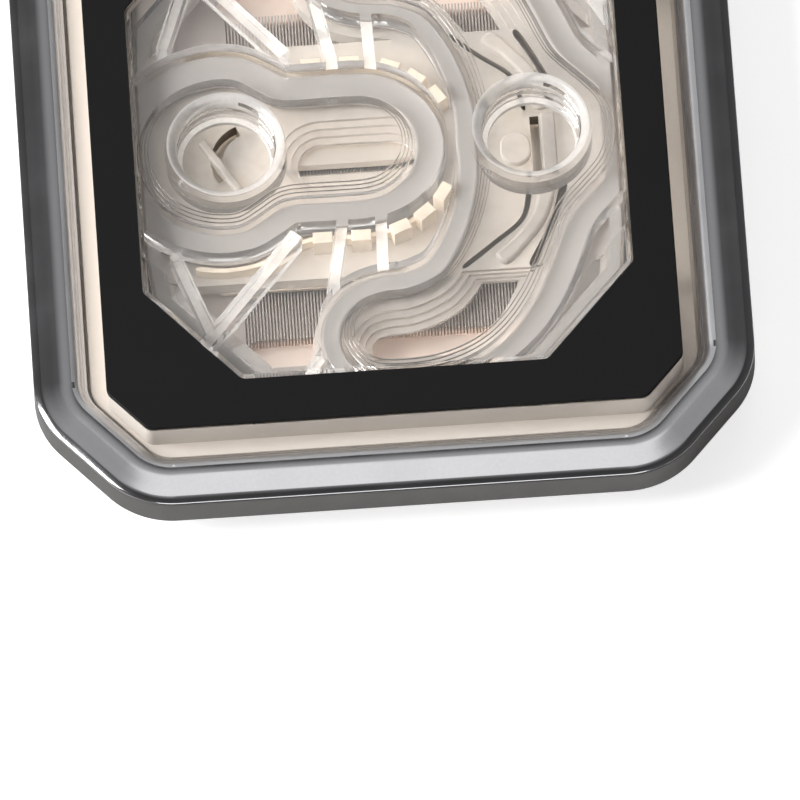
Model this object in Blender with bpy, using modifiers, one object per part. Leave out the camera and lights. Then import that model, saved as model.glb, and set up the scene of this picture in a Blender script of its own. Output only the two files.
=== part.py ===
"""CPU water block.

A clear acrylic top with milled flow ducts and two G1/4 ports sits in a polished frame and a matt base
frame. Under it lie a sealing gasket, a castellated flow guide, a jet plate and a finned cold plate.
Metres, +Z up. The origin is the middle of the contact face, and the front is at -Y.
"""

import math
from dataclasses import dataclass, replace

import bmesh
import bpy

MM = 0.001

# Plan of the whole block, in millimetres
BODY_WIDTH = 80.0
BODY_LENGTH = 86.2
CORNER_CUT = 10.56
CHAMFER_ANGLE = math.radians(48.5)
CORNER_RADIUS = 10.0
CORNER_STEPS = 3

# Running clearance between pieces that touch on the real block
GAP = 0.3
SEAM = 0.2

# Heights, from the contact face up
PAD_HEIGHT = 0.5
COLD_PLATE_TOP = 3.0
FIN_HEIGHT = 1.6
JET_PLATE_THICKNESS = 0.5
GUIDE_THICKNESS = 1.9
GASKET_THICKNESS = 1.0
BASE_BOTTOM = 4.6
BASE_HEIGHT = 4.0
LEDGE_THICKNESS = 1.3
FLANGE_THICKNESS = 0.7
FACE_HEIGHT = 12.0
WALL_HEIGHT = 4.0
CEILING_THICKNESS = 1.4

# Polished frame
FRAME_WIDTH = 6.0
FRAME_SHOULDER = 2.6
FRAME_LIP_BOTTOM = 7.2
FRAME_CROWN = 9.65
FRAME_RIM = 8.95

# Base frame
BASE_WALL = 2.3
BASE_OPENING_INSET = 6.2
BASE_BEVEL = 0.4
BRACKET_BOSS_RADIUS = 1.8
BRACKET_HOLE_RADIUS = 1.2
BRACKET_HOLE_DEPTH = 1.9
BRACKET_BOSS_INSET = 4.3

# Acrylic top, mask and window
MASK_INSET = 8.05
MASK_CORNER_INSET = 6.7
MASK_THICKNESS = 0.5
MASK_RADIUS = 1.5
WINDOW_SIDE = 4.7
WINDOW_END = 5.4
WINDOW_CORNER = 11.55
WINDOW_RADIUS = 1.2
WINDOW_BEVEL = 0.35
CHAMBER_INSET = 0.6
POCKET_SLOPE = 4.2

# Ports
PORT_SPACING = 34.0
PORT_RADIUS = 5.4
PORT_THREAD_RADIUS = 5.9
PORT_THREAD_DEPTH = 3.4
PORT_BOSS_RADIUS = 6.8
PORT_DEPTH = 4.6
PORT_CHAMFER = 0.4

# The duct layout is drawn on this grid, for a chamber of this size
LAYOUT_GRID = 1.0
LAYOUT_HALF_X = 26.65
LAYOUT_HALF_Y = 29.05

# Ducts
INLET_CHAMBER_RADIUS = 9.3
INLET_HALF_WIDTH = 6.1
INLET_END = 3.8
INLET_WALL = 3.9
OUTLET_NEAR_WALL = 2.9
OUTLET_FAR_WALL = 3.8
DUCT_STEP = 1.1
DUCT_STEP_HEIGHT = 1.3
LOOP_SAMPLES = 2

# Ribs across the pockets
RIB_WIDTH = 1.3
LONG_RIB_WIDTH = 1.9

# Jet plate, fins and flow guide
FIN_PITCH = 0.36
FIN_SLOT = 0.19
FIN_FIELD_WIDTH = 32.6
FIN_LENGTH = 41.0
RECESS_MARGIN = 3.5
RECESS_RADIUS = 1.6
JET_PLATE_LENGTH = 29.6
JET_PLATE_WIDTH = 38.0
JET_SLOT_LENGTH = 24.0
JET_SLOT_WIDTH = 1.4
JET_MOUTH_LENGTH = 13.0
JET_MOUTH_WIDTH = 5.6
JET_MOUTH_X = -2.6
MOUTH_STEP = 1.5
MOUTH_STEPS = 2
GUIDE_RIM = 1.4
TOOTH_WIDTH = 2.2
TOOTH_DEPTH = 1.4
TOOTH_HEIGHT = 2.6
TOOTH_ANGLES = (-68, -51, -34)
TOOTH_STRAIGHT_X = (-6.9, -2.6)

# Floor of the flow guide under the ports
INLET_SLOT_CENTRE = 3.1
INLET_SLOT_RADIUS = 4.2
INLET_SLOT_WIDTH = 1.3
INLET_SLOT_ENDS = (112, 212)
INLET_RIB_WIDTH = 0.9
OUTLET_BOSS_X = -1.8
OUTLET_BOSS_LENGTH = 4.0
OUTLET_BOSS_WIDTH = 3.4
OUTLET_SLOT_X = 0.5
OUTLET_SLOT_WIDTH = 1.0
OUTLET_BAR_X = 2.0
OUTLET_BAR_WIDTH = 1.6
OUTLET_SLOT_LENGTH = 8.4
PORT_FLOOR_RISE = 0.9

# Main O-ring
O_RING_CORD = 1.3
O_RING_INSET = 11.8
GROOVE_WIDTH = 1.7
GROOVE_DEPTH = O_RING_CORD

# Screws
PLATE_INSET = 6.4
PLATE_SCREW_INSET = 9.3
PLATE_SCREW_RADIUS = 1.1
PLATE_SCREW_HEAD_RADIUS = 1.9
PLATE_SCREW_LENGTH = 6.0
PLATE_SCREWS_Y = (-18.0, 18.0)
PLATE_SCREWS_X = (-15.0, 15.0)
FRAME_SCREW_INSET = 3.75
FRAME_SCREW_RADIUS = 0.9
FRAME_SCREW_HEAD_RADIUS = 1.7
FRAME_SCREW_LENGTH = 3.7
FRAME_TAP_DEPTH = 1.3
FRAME_SCREWS_Y = (-14.0, 14.0)
FRAME_SCREWS_X = (0.0,)
HEX_SHARE = 0.55
SCREW_SIDES = 10
PORT_SIDES = 28
BOSS_SIDES = 12

# Levels that follow from the sizes above
FIN_ROOT = COLD_PLATE_TOP - FIN_HEIGHT
RECESS_FLOOR = FIN_ROOT - 0.1
JET_PLATE_BOTTOM = COLD_PLATE_TOP + GAP
JET_PLATE_TOP = JET_PLATE_BOTTOM + JET_PLATE_THICKNESS
GUIDE_BOTTOM = JET_PLATE_TOP + GAP
GUIDE_TOP = GUIDE_BOTTOM + GUIDE_THICKNESS
GASKET_BOTTOM = GUIDE_TOP + GAP
GASKET_TOP = GASKET_BOTTOM + GASKET_THICKNESS
WALL_BOTTOM = GASKET_TOP + GAP
BODY_BOTTOM = COLD_PLATE_TOP + GAP
LEDGE_TOP = BASE_BOTTOM + LEDGE_THICKNESS
FLANGE_BOTTOM = LEDGE_TOP + GAP
FLANGE_TOP = FLANGE_BOTTOM + FLANGE_THICKNESS
BASE_TOP = BASE_BOTTOM + BASE_HEIGHT
STEP_TOP = FACE_HEIGHT - WALL_HEIGHT
SHOULDER_TOP = FACE_HEIGHT - MASK_THICKNESS - SEAM
CEILING = FACE_HEIGHT - CEILING_THICKNESS
DUCT_CEILING = CEILING - 0.4
PORT_X = PORT_SPACING / 2
INLET_CENTRE_X = -PORT_X - 0.5

BELOW = -5.0
ABOVE = 40.0


@dataclass(frozen=True)
class Octagon:
    """A rectangle with four equal corner chamfers and rounded corners, in millimetres."""

    half_x: float
    half_y: float
    reach: float
    radius: float

    def inset(self, distance):
        """The same outline moved inwards by a distance."""
        return Octagon(
            self.half_x - distance,
            self.half_y - distance,
            self.reach - distance,
            max(self.radius - distance, 0.6),
        )

    def corners(self):
        """The eight sharp corners, anticlockwise."""
        nx, ny = math.sin(CHAMFER_ANGLE), math.cos(CHAMFER_ANGLE)
        side_y = (self.reach - self.half_x * nx) / ny
        end_x = (self.reach - self.half_y * ny) / nx
        quarter = [(self.half_x, side_y), (end_x, self.half_y)]
        left = [(-x, y) for x, y in reversed(quarter)]
        top = quarter + left
        return top + [(-x, -y) for x, y in top]

    def points(self, steps=CORNER_STEPS):
        """The rounded outline, anticlockwise."""
        return rounded(self.corners(), self.radius, steps)


def rounded(corners, radius, steps):
    """Rounds each corner of a closed outline with an arc of the given radius."""
    outline = []
    count = len(corners)
    for i, (x, y) in enumerate(corners):
        ax, ay = corners[i - 1]
        bx, by = corners[(i + 1) % count]
        ux, uy = unit(ax - x, ay - y)
        vx, vy = unit(bx - x, by - y)
        half = math.acos(max(-1.0, min(1.0, ux * vx + uy * vy))) / 2
        run = radius / math.tan(half)
        mx, my = unit(ux + vx, uy + vy)
        cx = x + mx * radius / math.sin(half)
        cy = y + my * radius / math.sin(half)
        start = math.atan2(y + uy * run - cy, x + ux * run - cx)
        end = math.atan2(y + vy * run - cy, x + vx * run - cx)
        turn = (end - start + math.pi) % (2 * math.pi) - math.pi
        for k in range(steps + 1):
            angle = start + turn * k / steps
            outline.append((cx + radius * math.cos(angle), cy + radius * math.sin(angle)))
    return outline


def unit(x, y):
    """A vector of length one."""
    length = math.hypot(x, y)
    return x / length, y / length


def arc(cx, cy, radius, start, end, steps):
    """Points on an arc, from a start to an end angle in degrees."""
    angles = [math.radians(start + (end - start) * k / steps) for k in range(steps + 1)]
    return [(cx + radius * math.cos(a), cy + radius * math.sin(a)) for a in angles]


def mirrored(front):
    """Closes a loop that starts and ends on the X axis by its mirror image behind that axis."""
    return front + [(x, -y) for x, y in reversed(front[1:-1])]


def smooth(points, samples=LOOP_SAMPLES):
    """A closed smooth loop through the points."""
    loop = []
    count = len(points)
    for i in range(count):
        a, b, c, d = (points[(i + k - 1) % count] for k in range(4))
        for k in range(samples):
            t = k / samples
            loop.append(tuple(blend(a[n], b[n], c[n], d[n], t) for n in range(2)))
    return loop


def blend(a, b, c, d, t):
    """One coordinate of a Catmull-Rom curve between b and c."""
    return 0.5 * (2 * b + (c - a) * t + (2 * a - 5 * b + 4 * c - d) * t**2 + (3 * b - a - 3 * c + d) * t**3)


def offset(loop, near, far=None):
    """Moves an anticlockwise loop outwards, by near on its left and by far on its right side."""
    far = near if far is None else far
    moved = []
    count = len(loop)
    for i, (x, y) in enumerate(loop):
        ax, ay = loop[i - 1]
        bx, by = loop[(i + 1) % count]
        tx, ty = unit(bx - ax, by - ay)
        distance = near + (far - near) * max(0.0, ty)
        moved.append((x + ty * distance, y - tx * distance))
    return moved


def drawn(points):
    """Points of the layout, from its grid to millimetres."""
    return [(x * LAYOUT_GRID, y * LAYOUT_GRID) for x, y in points]


def fitted(points, chamber):
    """Stretches points of the layout to the chamber."""
    across, along = chamber.half_x / LAYOUT_HALF_X, chamber.half_y / LAYOUT_HALF_Y
    return [(x * across, y * along) for x, y in points]


def slimmed(length, chamber):
    """A wall or step of the layout, slimmer where the chamber is smaller than the drawn one."""
    [(across, along)] = fitted([(length, length)], chamber)
    return min(length, across, along)


def inlet_loop(chamber):
    """The duct from the left port to the jet mouth, anticlockwise."""
    neck = INLET_CENTRE_X + INLET_CHAMBER_RADIUS
    end_centre = INLET_END - INLET_HALF_WIDTH
    front = arc(INLET_CENTRE_X, 0, INLET_CHAMBER_RADIUS, 180, 282, 4)
    front += [(neck + x, y - INLET_HALF_WIDTH) for x, y in drawn([(-3.4, -0.5), (-0.4, 0.0)])]
    front += arc(end_centre, 0, INLET_HALF_WIDTH, 270, 360, 3)
    return fitted(smooth(mirrored(front)), chamber)


def outlet_loop(chamber):
    """The duct from the fin ends, front and back, to the right port, anticlockwise."""
    port = arc(PORT_X, 0, INLET_CHAMBER_RADIUS + 0.1, -52, 0, 2)
    near = [(11.2, 0.0), (11.2, -4.0), (10.3, -8.6), (8.6, -13.0), (6.0, -16.8), (2.2, -18.5)]
    end = arc(-0.2, -23.8, 5.1, 90, 262, 5)
    far = [(4.6, -28.7), (9.6, -26.9), (13.4, -23.7), (16.3, -19.3), (18.5, -14.3), (20.2, -10.4)]
    return fitted(smooth(mirrored(drawn(near + end + far) + port)), chamber)


def port_places(chamber):
    """The axes of the inlet and the outlet port."""
    return fitted([(-PORT_X, 0.0), (PORT_X, 0.0)], chamber)


def clear_scene():
    """Removes what the new file holds."""
    for item in list(bpy.data.objects):
        bpy.data.objects.remove(item, do_unlink=True)


def collection(name):
    """A new collection in the scene."""
    group = bpy.data.collections.new(name)
    bpy.context.scene.collection.children.link(group)
    return group


def material(name, colour, metallic, roughness, transmission=0.0):
    """A Principled material of one colour."""
    made = bpy.data.materials.new(name)
    made.use_nodes = True
    shader = made.node_tree.nodes["Principled BSDF"]
    shader.inputs["Base Color"].default_value = (*colour, 1.0)
    shader.inputs["Metallic"].default_value = metallic
    shader.inputs["Roughness"].default_value = roughness
    shader.inputs["Transmission Weight"].default_value = transmission
    return made


def mesh_object(name, mesh, group):
    """An object for a mesh, in a collection."""
    made = bpy.data.objects.new(name, mesh)
    group.objects.link(made)
    if group is CUTTERS:
        made.hide_render = True
        made.display_type = "WIRE"
    return made


def prism(name, loops, low, high, group):
    """A flat outline with holes, extruded from low to high."""
    curve = bpy.data.curves.new(name, "CURVE")
    curve.dimensions = "2D"
    curve.fill_mode = "BOTH"
    curve.extrude = (high - low) * MM / 2
    for loop in loops:
        spline = curve.splines.new("POLY")
        spline.points.add(len(loop) - 1)
        for point, (x, y) in zip(spline.points, loop):
            point.co = (x * MM, y * MM, 0.0, 1.0)
        spline.use_cyclic_u = True
    outline = bpy.data.objects.new(name + "_outline", curve)
    bpy.context.scene.collection.objects.link(outline)
    bpy.context.view_layer.update()
    evaluated = outline.evaluated_get(bpy.context.evaluated_depsgraph_get())
    mesh = bpy.data.meshes.new_from_object(evaluated)
    bpy.data.objects.remove(outline, do_unlink=True)
    bpy.data.curves.remove(curve)
    shape = bmesh.new()
    shape.from_mesh(mesh)
    bmesh.ops.translate(shape, verts=shape.verts, vec=(0, 0, (low + high) * MM / 2))
    close(shape, mesh)
    return mesh_object(name, mesh, group)


def close(shape, mesh):
    """Welds a shape's seams, joins its flat faces, turns its faces outwards and stores it."""
    bmesh.ops.remove_doubles(shape, verts=shape.verts, dist=0.001 * MM)
    bmesh.ops.dissolve_limit(
        shape, angle_limit=math.radians(0.2), verts=shape.verts, edges=shape.edges, delimit=set()
    )
    bmesh.ops.recalc_face_normals(shape, faces=shape.faces)
    shape.to_mesh(mesh)
    shape.free()


def loft(name, sections, group, ring=False):
    """Joins sections (outline, height) of equal point counts. A ring closes on its first section."""
    shape = bmesh.new()
    rows = [[shape.verts.new((x * MM, y * MM, z * MM)) for x, y in outline] for outline, z in sections]
    pairs = list(zip(rows, rows[1:]))
    if ring:
        pairs.append((rows[-1], rows[0]))
    for lower, upper in pairs:
        count = len(lower)
        for i in range(count):
            j = (i + 1) % count
            shape.faces.new((lower[i], lower[j], upper[j], upper[i]))
    if not ring:
        shape.faces.new(rows[0])
        shape.faces.new(rows[-1])
    mesh = bpy.data.meshes.new(name)
    bmesh.ops.recalc_face_normals(shape, faces=shape.faces)
    shape.to_mesh(mesh)
    shape.free()
    return mesh_object(name, mesh, group)


def drill(name, places, profile, sides=SCREW_SIDES):
    """Turned cutters at each place, each a closed loft of circles from its foot to its head."""
    shape = bmesh.new()
    for x, y in places:
        rows = []
        for radius, z in profile:
            rows.append([shape.verts.new(((x + u) * MM, (y + v) * MM, z * MM)) for u, v in circle(radius, sides)])
        for lower, upper in zip(rows, rows[1:]):
            for i in range(sides):
                j = (i + 1) % sides
                shape.faces.new((lower[i], lower[j], upper[j], upper[i]))
        shape.faces.new(list(reversed(rows[0])))
        shape.faces.new(rows[-1])
    mesh = bpy.data.meshes.new(name)
    shape.to_mesh(mesh)
    shape.free()
    return mesh_object(name, mesh, CUTTERS)


def boolean(target, other, operation):
    """Adds a Boolean modifier with the exact solver."""
    step = target.modifiers.new(f"{operation.lower()} {other.name}", "BOOLEAN")
    step.operation = operation
    step.object = other
    step.solver = "EXACT"
    return step


def cut(target, cutter):
    """Takes a cutter out of a piece."""
    boolean(target, cutter, "DIFFERENCE")


def join(target, other):
    """Makes a piece and another shape one body."""
    boolean(target, other, "UNION")


def keep(target, other):
    """Keeps only what lies in both shapes."""
    boolean(target, other, "INTERSECT")


def box(name, low, high, group):
    """A box between two corners."""
    shape = bmesh.new()
    made = bmesh.ops.create_cube(shape, size=1.0)
    size = [(b - a) * MM for a, b in zip(low, high)]
    middle = [(a + b) * MM / 2 for a, b in zip(low, high)]
    bmesh.ops.scale(shape, verts=made["verts"], vec=size)
    bmesh.ops.translate(shape, verts=made["verts"], vec=middle)
    mesh = bpy.data.meshes.new(name)
    shape.to_mesh(mesh)
    shape.free()
    return mesh_object(name, mesh, group)


def bar(start, end, width):
    """The outline of a straight bar between two points."""
    ux, uy = unit(end[0] - start[0], end[1] - start[1])
    nx, ny = -uy * width / 2, ux * width / 2
    (ax, ay), (bx, by) = start, end
    return [(ax - nx, ay - ny), (bx - nx, by - ny), (bx + nx, by + ny), (ax + nx, ay + ny)]


def slot(cx, cy, length, width, steps=6):
    """The outline of an obround along X."""
    reach = (length - width) / 2
    right = arc(cx + reach, cy, width / 2, -90, 90, steps)
    left = arc(cx - reach, cy, width / 2, 90, 270, steps)
    return right + left


def dress(piece, finish, sharp=35.0):
    """Gives a piece its material and smooth round faces."""
    piece.data.materials.clear()
    piece.data.materials.append(finish)
    piece.data.shade_smooth()
    piece.data.set_sharp_from_angle(angle=math.radians(sharp))
    return piece


def outlines():
    """The octagons that the pieces share."""
    half_x, half_y = BODY_WIDTH / 2, BODY_LENGTH / 2
    reach = (half_x - CORNER_CUT) * math.sin(CHAMFER_ANGLE) + half_y * math.cos(CHAMFER_ANGLE)
    outer = Octagon(half_x, half_y, reach, CORNER_RADIUS)
    mask = Octagon(
        outer.half_x - MASK_INSET, outer.half_y - MASK_INSET, outer.reach - MASK_CORNER_INSET, MASK_RADIUS
    )
    window = Octagon(
        mask.half_x - WINDOW_SIDE, mask.half_y - WINDOW_END, mask.reach - WINDOW_CORNER, WINDOW_RADIUS
    )
    return outer, mask, window


def frame_screw_places(outer):
    """Where the screws join the base frame and the polished frame."""
    side = outer.half_x - FRAME_SCREW_INSET
    end = outer.half_y - FRAME_SCREW_INSET
    places = [(s * side, y) for s in (-1, 1) for y in FRAME_SCREWS_Y]
    return places + [(x, s * end) for s in (-1, 1) for x in FRAME_SCREWS_X]


def plate_screw_places(outer):
    """Where the screws hold the cold plate to the acrylic top."""
    side = outer.half_x - PLATE_SCREW_INSET
    end = outer.half_y - PLATE_SCREW_INSET
    places = [(s * side, y) for s in (-1, 1) for y in PLATE_SCREWS_Y]
    return places + [(x, s * end) for s in (-1, 1) for x in PLATE_SCREWS_X]


def boss_places(outer):
    """Where the mounting bracket screws into the base frame, one in each chamfered corner."""
    (ax, ay), (bx, by) = outer.inset(BRACKET_BOSS_INSET).corners()[:2]
    return [(sx * (ax + bx) / 2, sy * (ay + by) / 2) for sx in (-1, 1) for sy in (-1, 1)]


def polished_frame(outer, finish):
    """The chrome-plated ring with its crowned face, as a swept profile."""
    crown = FRAME_CROWN - FRAME_RIM
    face = [
        (0.0, FRAME_RIM),
        (0.25, FRAME_RIM + 0.24 * crown),
        (0.8, FRAME_RIM + 0.44 * crown),
        (2.0, FRAME_RIM + 0.72 * crown),
        (3.2, FRAME_RIM + 0.98 * crown),
        (3.9, FRAME_CROWN),
        (4.7, FRAME_RIM + 0.9 * crown),
        (5.12, FRAME_RIM + 0.68 * crown),
        (5.32, FRAME_RIM - 0.3 * crown),
        (FRAME_WIDTH - 0.35, FRAME_RIM - 0.6 * crown),
        (FRAME_WIDTH, STEP_TOP + 0.15),
    ]
    back = [
        (FRAME_WIDTH, FRAME_LIP_BOTTOM),
        (FRAME_SHOULDER, FRAME_LIP_BOTTOM),
        (FRAME_SHOULDER, BASE_TOP + SEAM),
        (0.1, BASE_TOP + SEAM),
    ]
    sections = [(outer.inset(d).points(), z) for d, z in face + back]
    ring = loft("polished_frame", sections, PARTS, ring=True)
    tap = FRAME_SCREW_RADIUS + GAP / 2
    profile = [(tap, BELOW), (tap, FRAME_LIP_BOTTOM + FRAME_TAP_DEPTH)]
    cut(ring, drill("frame_screw_taps", frame_screw_places(outer), profile))
    return dress(ring, finish)


def base_frame(outer, finish):
    """The matt base ring with its inner ledge, screw holes and bracket bosses."""
    profile = [
        (BASE_BEVEL, BASE_BOTTOM),
        (0.0, BASE_BOTTOM + BASE_BEVEL),
        (0.0, BASE_TOP - 0.15),
        (0.15, BASE_TOP),
        (BASE_WALL, BASE_TOP),
        (BASE_WALL, LEDGE_TOP),
        (BASE_OPENING_INSET, LEDGE_TOP),
        (BASE_OPENING_INSET, BASE_BOTTOM),
    ]
    ring = loft("base_frame", [(outer.inset(d).points(), z) for d, z in profile], PARTS, ring=True)
    boss = [(BRACKET_BOSS_RADIUS, BASE_BOTTOM + BASE_BEVEL), (BRACKET_BOSS_RADIUS, FLANGE_TOP)]
    join(ring, drill("bracket_bosses", boss_places(outer), boss, BOSS_SIDES))
    tap_top = BASE_BOTTOM + BRACKET_HOLE_DEPTH
    tap = [(BRACKET_HOLE_RADIUS, BELOW), (BRACKET_HOLE_RADIUS, tap_top)]
    cut(ring, drill("bracket_taps", boss_places(outer), tap))
    cut(ring, drill("frame_screw_seats", frame_screw_places(outer), screw_seat(
        BASE_BOTTOM, FRAME_SCREW_RADIUS, FRAME_SCREW_HEAD_RADIUS)))
    return dress(ring, finish)


def screw_seat(face, radius, head_radius):
    """The profile of a countersunk hole that opens downwards at a face."""
    depth = head_radius - radius
    return [
        (head_radius + GAP, face - 1.0),
        (head_radius + GAP, face),
        (radius + GAP, face + depth),
        (radius + GAP, ABOVE),
    ]


def screw(name, x, y, face, radius, head_radius, length, finish):
    """A countersunk socket screw whose head is flush with a face below."""
    depth = head_radius - radius
    sink = 0.05
    profile = [
        (head_radius, face + sink),
        (radius, face + sink + depth),
        (radius, face + length),
    ]
    outline = [circle(r, SCREW_SIDES) for r, _ in profile]
    sections = [(outline[i], profile[i][1]) for i in range(len(profile))]
    body = loft(name, sections, PARTS)
    body.location = (x * MM, y * MM, 0)
    hexagon = circle(head_radius * HEX_SHARE, 6)
    socket = prism(name + "_socket", [hexagon], face - 1.0, face + depth * 0.8, CUTTERS)
    socket.parent = body
    cut(body, socket)
    return dress(body, finish)


def circle(radius, sides):
    """A regular outline round the origin."""
    return arc(0, 0, radius, 0, 360 - 360 / sides, sides - 1)


def rib_outlines(chamber):
    """The straight ribs that stiffen the pockets, front and back."""
    ends = [
        ((-9.8, -11.4), (-21.5, -25.4), LONG_RIB_WIDTH),
        ((-23.4, -13.0), (-19.9, -23.0), RIB_WIDTH),
        ((-4.4, -9.0), (-6.2, -18.6), RIB_WIDTH),
        ((-0.3, -9.0), (-0.5, -17.0), RIB_WIDTH),
        ((-5.8, -24.0), (-10.8, -31.0), RIB_WIDTH),
    ]
    front = [bar(*fitted(drawn([start, end]), chamber), width) for start, end, width in ends]
    return front + [[(x, -y) for x, y in reversed(rib)] for rib in front]


def acrylic_top(outer, mask, window, finish):
    """The clear body: stepped outside, pockets and ducts milled from below, two threaded ports."""
    body = outer.inset(BASE_OPENING_INSET + GAP)
    flange = outer.inset(BASE_WALL + GAP)
    step = outer.inset(FRAME_WIDTH + GAP)
    stack = [
        (body.inset(0.3), BODY_BOTTOM),
        (body, BODY_BOTTOM + 0.3),
        (body, FLANGE_BOTTOM),
        (flange, FLANGE_BOTTOM),
        (flange, FLANGE_TOP),
        (step, FLANGE_TOP),
        (step, STEP_TOP - 0.2),
        (step.inset(0.2), STEP_TOP),
        (mask, STEP_TOP),
        (mask, SHOULDER_TOP),
        (window.inset(SEAM), SHOULDER_TOP),
        (window.inset(SEAM), FACE_HEIGHT - WINDOW_BEVEL),
        (window.inset(SEAM + WINDOW_BEVEL), FACE_HEIGHT),
    ]
    top = loft("acrylic_top", [(shape.points(), z) for shape, z in stack], PARTS)

    chamber = window.inset(CHAMBER_INSET)
    inlet, outlet = inlet_loop(chamber), outlet_loop(chamber)
    cut(top, pocket_cutter(chamber, inlet, outlet))
    cut(top, prism("lower_chamber", [chamber.points()], BELOW, WALL_BOTTOM, CUTTERS))
    for name, loop in (("inlet_duct", inlet), ("outlet_duct", outlet)):
        lower = prism(name, [loop], BELOW, DUCT_CEILING - DUCT_STEP_HEIGHT, CUTTERS)
        crown = offset(loop, -slimmed(DUCT_STEP, chamber))
        upper = prism(name + "_crown", [crown], BELOW, DUCT_CEILING, CUTTERS)
        keep(lower, prism(name + "_bounds", [chamber.points()], BELOW - 1, ABOVE, CUTTERS))
        cut(top, lower)
        cut(top, upper)

    ports = port_places(chamber)
    boss_bottom = FACE_HEIGHT - PORT_DEPTH
    boss = [(PORT_BOSS_RADIUS, boss_bottom), (PORT_BOSS_RADIUS, CEILING + 0.5)]
    join(top, drill("port_bosses", ports, boss, PORT_SIDES))
    bore = [
        (PORT_RADIUS, BELOW),
        (PORT_RADIUS, FACE_HEIGHT - PORT_THREAD_DEPTH),
        (PORT_THREAD_RADIUS, FACE_HEIGHT - PORT_THREAD_DEPTH),
        (PORT_THREAD_RADIUS, FACE_HEIGHT - PORT_CHAMFER),
        (PORT_THREAD_RADIUS + 2 * PORT_CHAMFER, FACE_HEIGHT + PORT_CHAMFER),
    ]
    cut(top, drill("port_bores", ports, bore, PORT_SIDES))

    groove = outer.inset(O_RING_INSET)
    loops = [groove.inset(-GROOVE_WIDTH / 2).points(), groove.inset(GROOVE_WIDTH / 2).points()]
    cut(top, prism("o_ring_groove", loops, BELOW, BODY_BOTTOM + GROOVE_DEPTH, CUTTERS))
    tap_top = PAD_HEIGHT + PLATE_SCREW_LENGTH + GAP
    tap = [(PLATE_SCREW_RADIUS + GAP / 2, BELOW), (PLATE_SCREW_RADIUS + GAP / 2, tap_top)]
    cut(top, drill("plate_screw_taps", plate_screw_places(outer), tap))
    clearance = [(FRAME_SCREW_RADIUS + 2 * GAP, BELOW), (FRAME_SCREW_RADIUS + 2 * GAP, FLANGE_TOP + 0.1)]
    cut(top, drill("flange_screw_holes", frame_screw_places(outer), clearance))
    relief = [(BRACKET_BOSS_RADIUS + GAP, BELOW), (BRACKET_BOSS_RADIUS + GAP, FLANGE_TOP + 0.1)]
    cut(top, drill("boss_reliefs", boss_places(outer), relief, BOSS_SIDES))
    return dress(top, finish)


def pocket_cutter(chamber, inlet, outlet):
    """The hollows round the ducts. Their outer walls lean in towards the foot at the corners."""
    foot = replace(chamber, reach=chamber.reach - POCKET_SLOPE)
    pockets = loft(
        "pockets", [(foot.points(), BELOW), (foot.points(), WALL_BOTTOM), (chamber.points(), CEILING)], CUTTERS
    )
    inlet_wall = offset(inlet, slimmed(INLET_WALL, chamber))
    cut(pockets, prism("inlet_wall", [inlet_wall], BELOW - 1, ABOVE, CUTTERS))
    outlet_wall = offset(outlet, slimmed(OUTLET_NEAR_WALL, chamber), slimmed(OUTLET_FAR_WALL, chamber))
    cut(pockets, prism("outlet_wall", [outlet_wall], BELOW - 1, ABOVE, CUTTERS))
    for number, outline in enumerate(rib_outlines(chamber), 1):
        cut(pockets, prism(f"rib_{number}", [outline], BELOW - 1, ABOVE, CUTTERS))
    return pockets


def face_mask(mask, window, finish):
    """The thin black plate round the window, let into the top of the acrylic."""
    low = FACE_HEIGHT - MASK_THICKNESS
    sections = [
        (mask.points(), low),
        (mask.points(), FACE_HEIGHT - 0.1),
        (mask.inset(0.1).points(), FACE_HEIGHT),
        (window.points(), FACE_HEIGHT),
        (window.points(), low),
    ]
    return dress(loft("face_mask", sections, PARTS, ring=True), finish)


def gasket(chamber, inlet, outlet, finish):
    """The silicone gasket: a rim round the chamber and a web under each duct wall."""
    edge = chamber.inset(GAP)
    sheet = prism("duct_gasket", [edge.points(), edge.inset(GUIDE_RIM).points()], GASKET_BOTTOM, GASKET_TOP, PARTS)
    around = slimmed(INLET_WALL, chamber) - GAP
    near, far = slimmed(OUTLET_NEAR_WALL, chamber) - GAP, slimmed(OUTLET_FAR_WALL, chamber) - GAP
    walls = [
        ("inlet_web", [offset(inlet, around), offset(inlet, GAP)]),
        ("outlet_web", [offset(outlet, near, far), offset(outlet, GAP)]),
    ]
    for name, loops in walls:
        web = prism(name, loops, GASKET_BOTTOM, GASKET_TOP, CUTTERS)
        keep(web, prism(name + "_bounds", [edge.points()], BELOW, ABOVE, CUTTERS))
        join(sheet, web)
    return dress(sheet, finish)


def flow_guide(chamber, inlet, outlet, finish):
    """The castellated insert that carries the duct floors and opens onto the fins."""
    edge = chamber.inset(GAP)
    guide = prism("flow_guide", [edge.points(), edge.inset(GUIDE_RIM).points()], GUIDE_BOTTOM, GUIDE_TOP, PARTS)
    half = JET_PLATE_LENGTH / 2
    floors = prism("guide_floor", [outlet_floor(outlet)], GUIDE_BOTTOM, GUIDE_TOP, CUTTERS)
    band = box("guide_band", (-60, -half, GUIDE_BOTTOM), (60, half, GUIDE_TOP), CUTTERS)
    join(floors, band)
    keep(floors, prism("guide_bounds", [edge.points()], BELOW, ABOVE, CUTTERS))
    join(guide, floors)
    cut_mouths(guide, chamber, outlet, half)
    port_floors(guide, chamber)
    for number, (x, y, angle) in enumerate(tooth_places(chamber), 1):
        join(guide, tooth(f"tooth_{number}", x, y, angle))
    return dress(guide, finish)


def outlet_floor(outlet):
    """The outline of the floor under the outlet duct and its walls."""
    return offset(outlet, OUTLET_NEAR_WALL + 0.6, OUTLET_FAR_WALL + 0.6)


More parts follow.
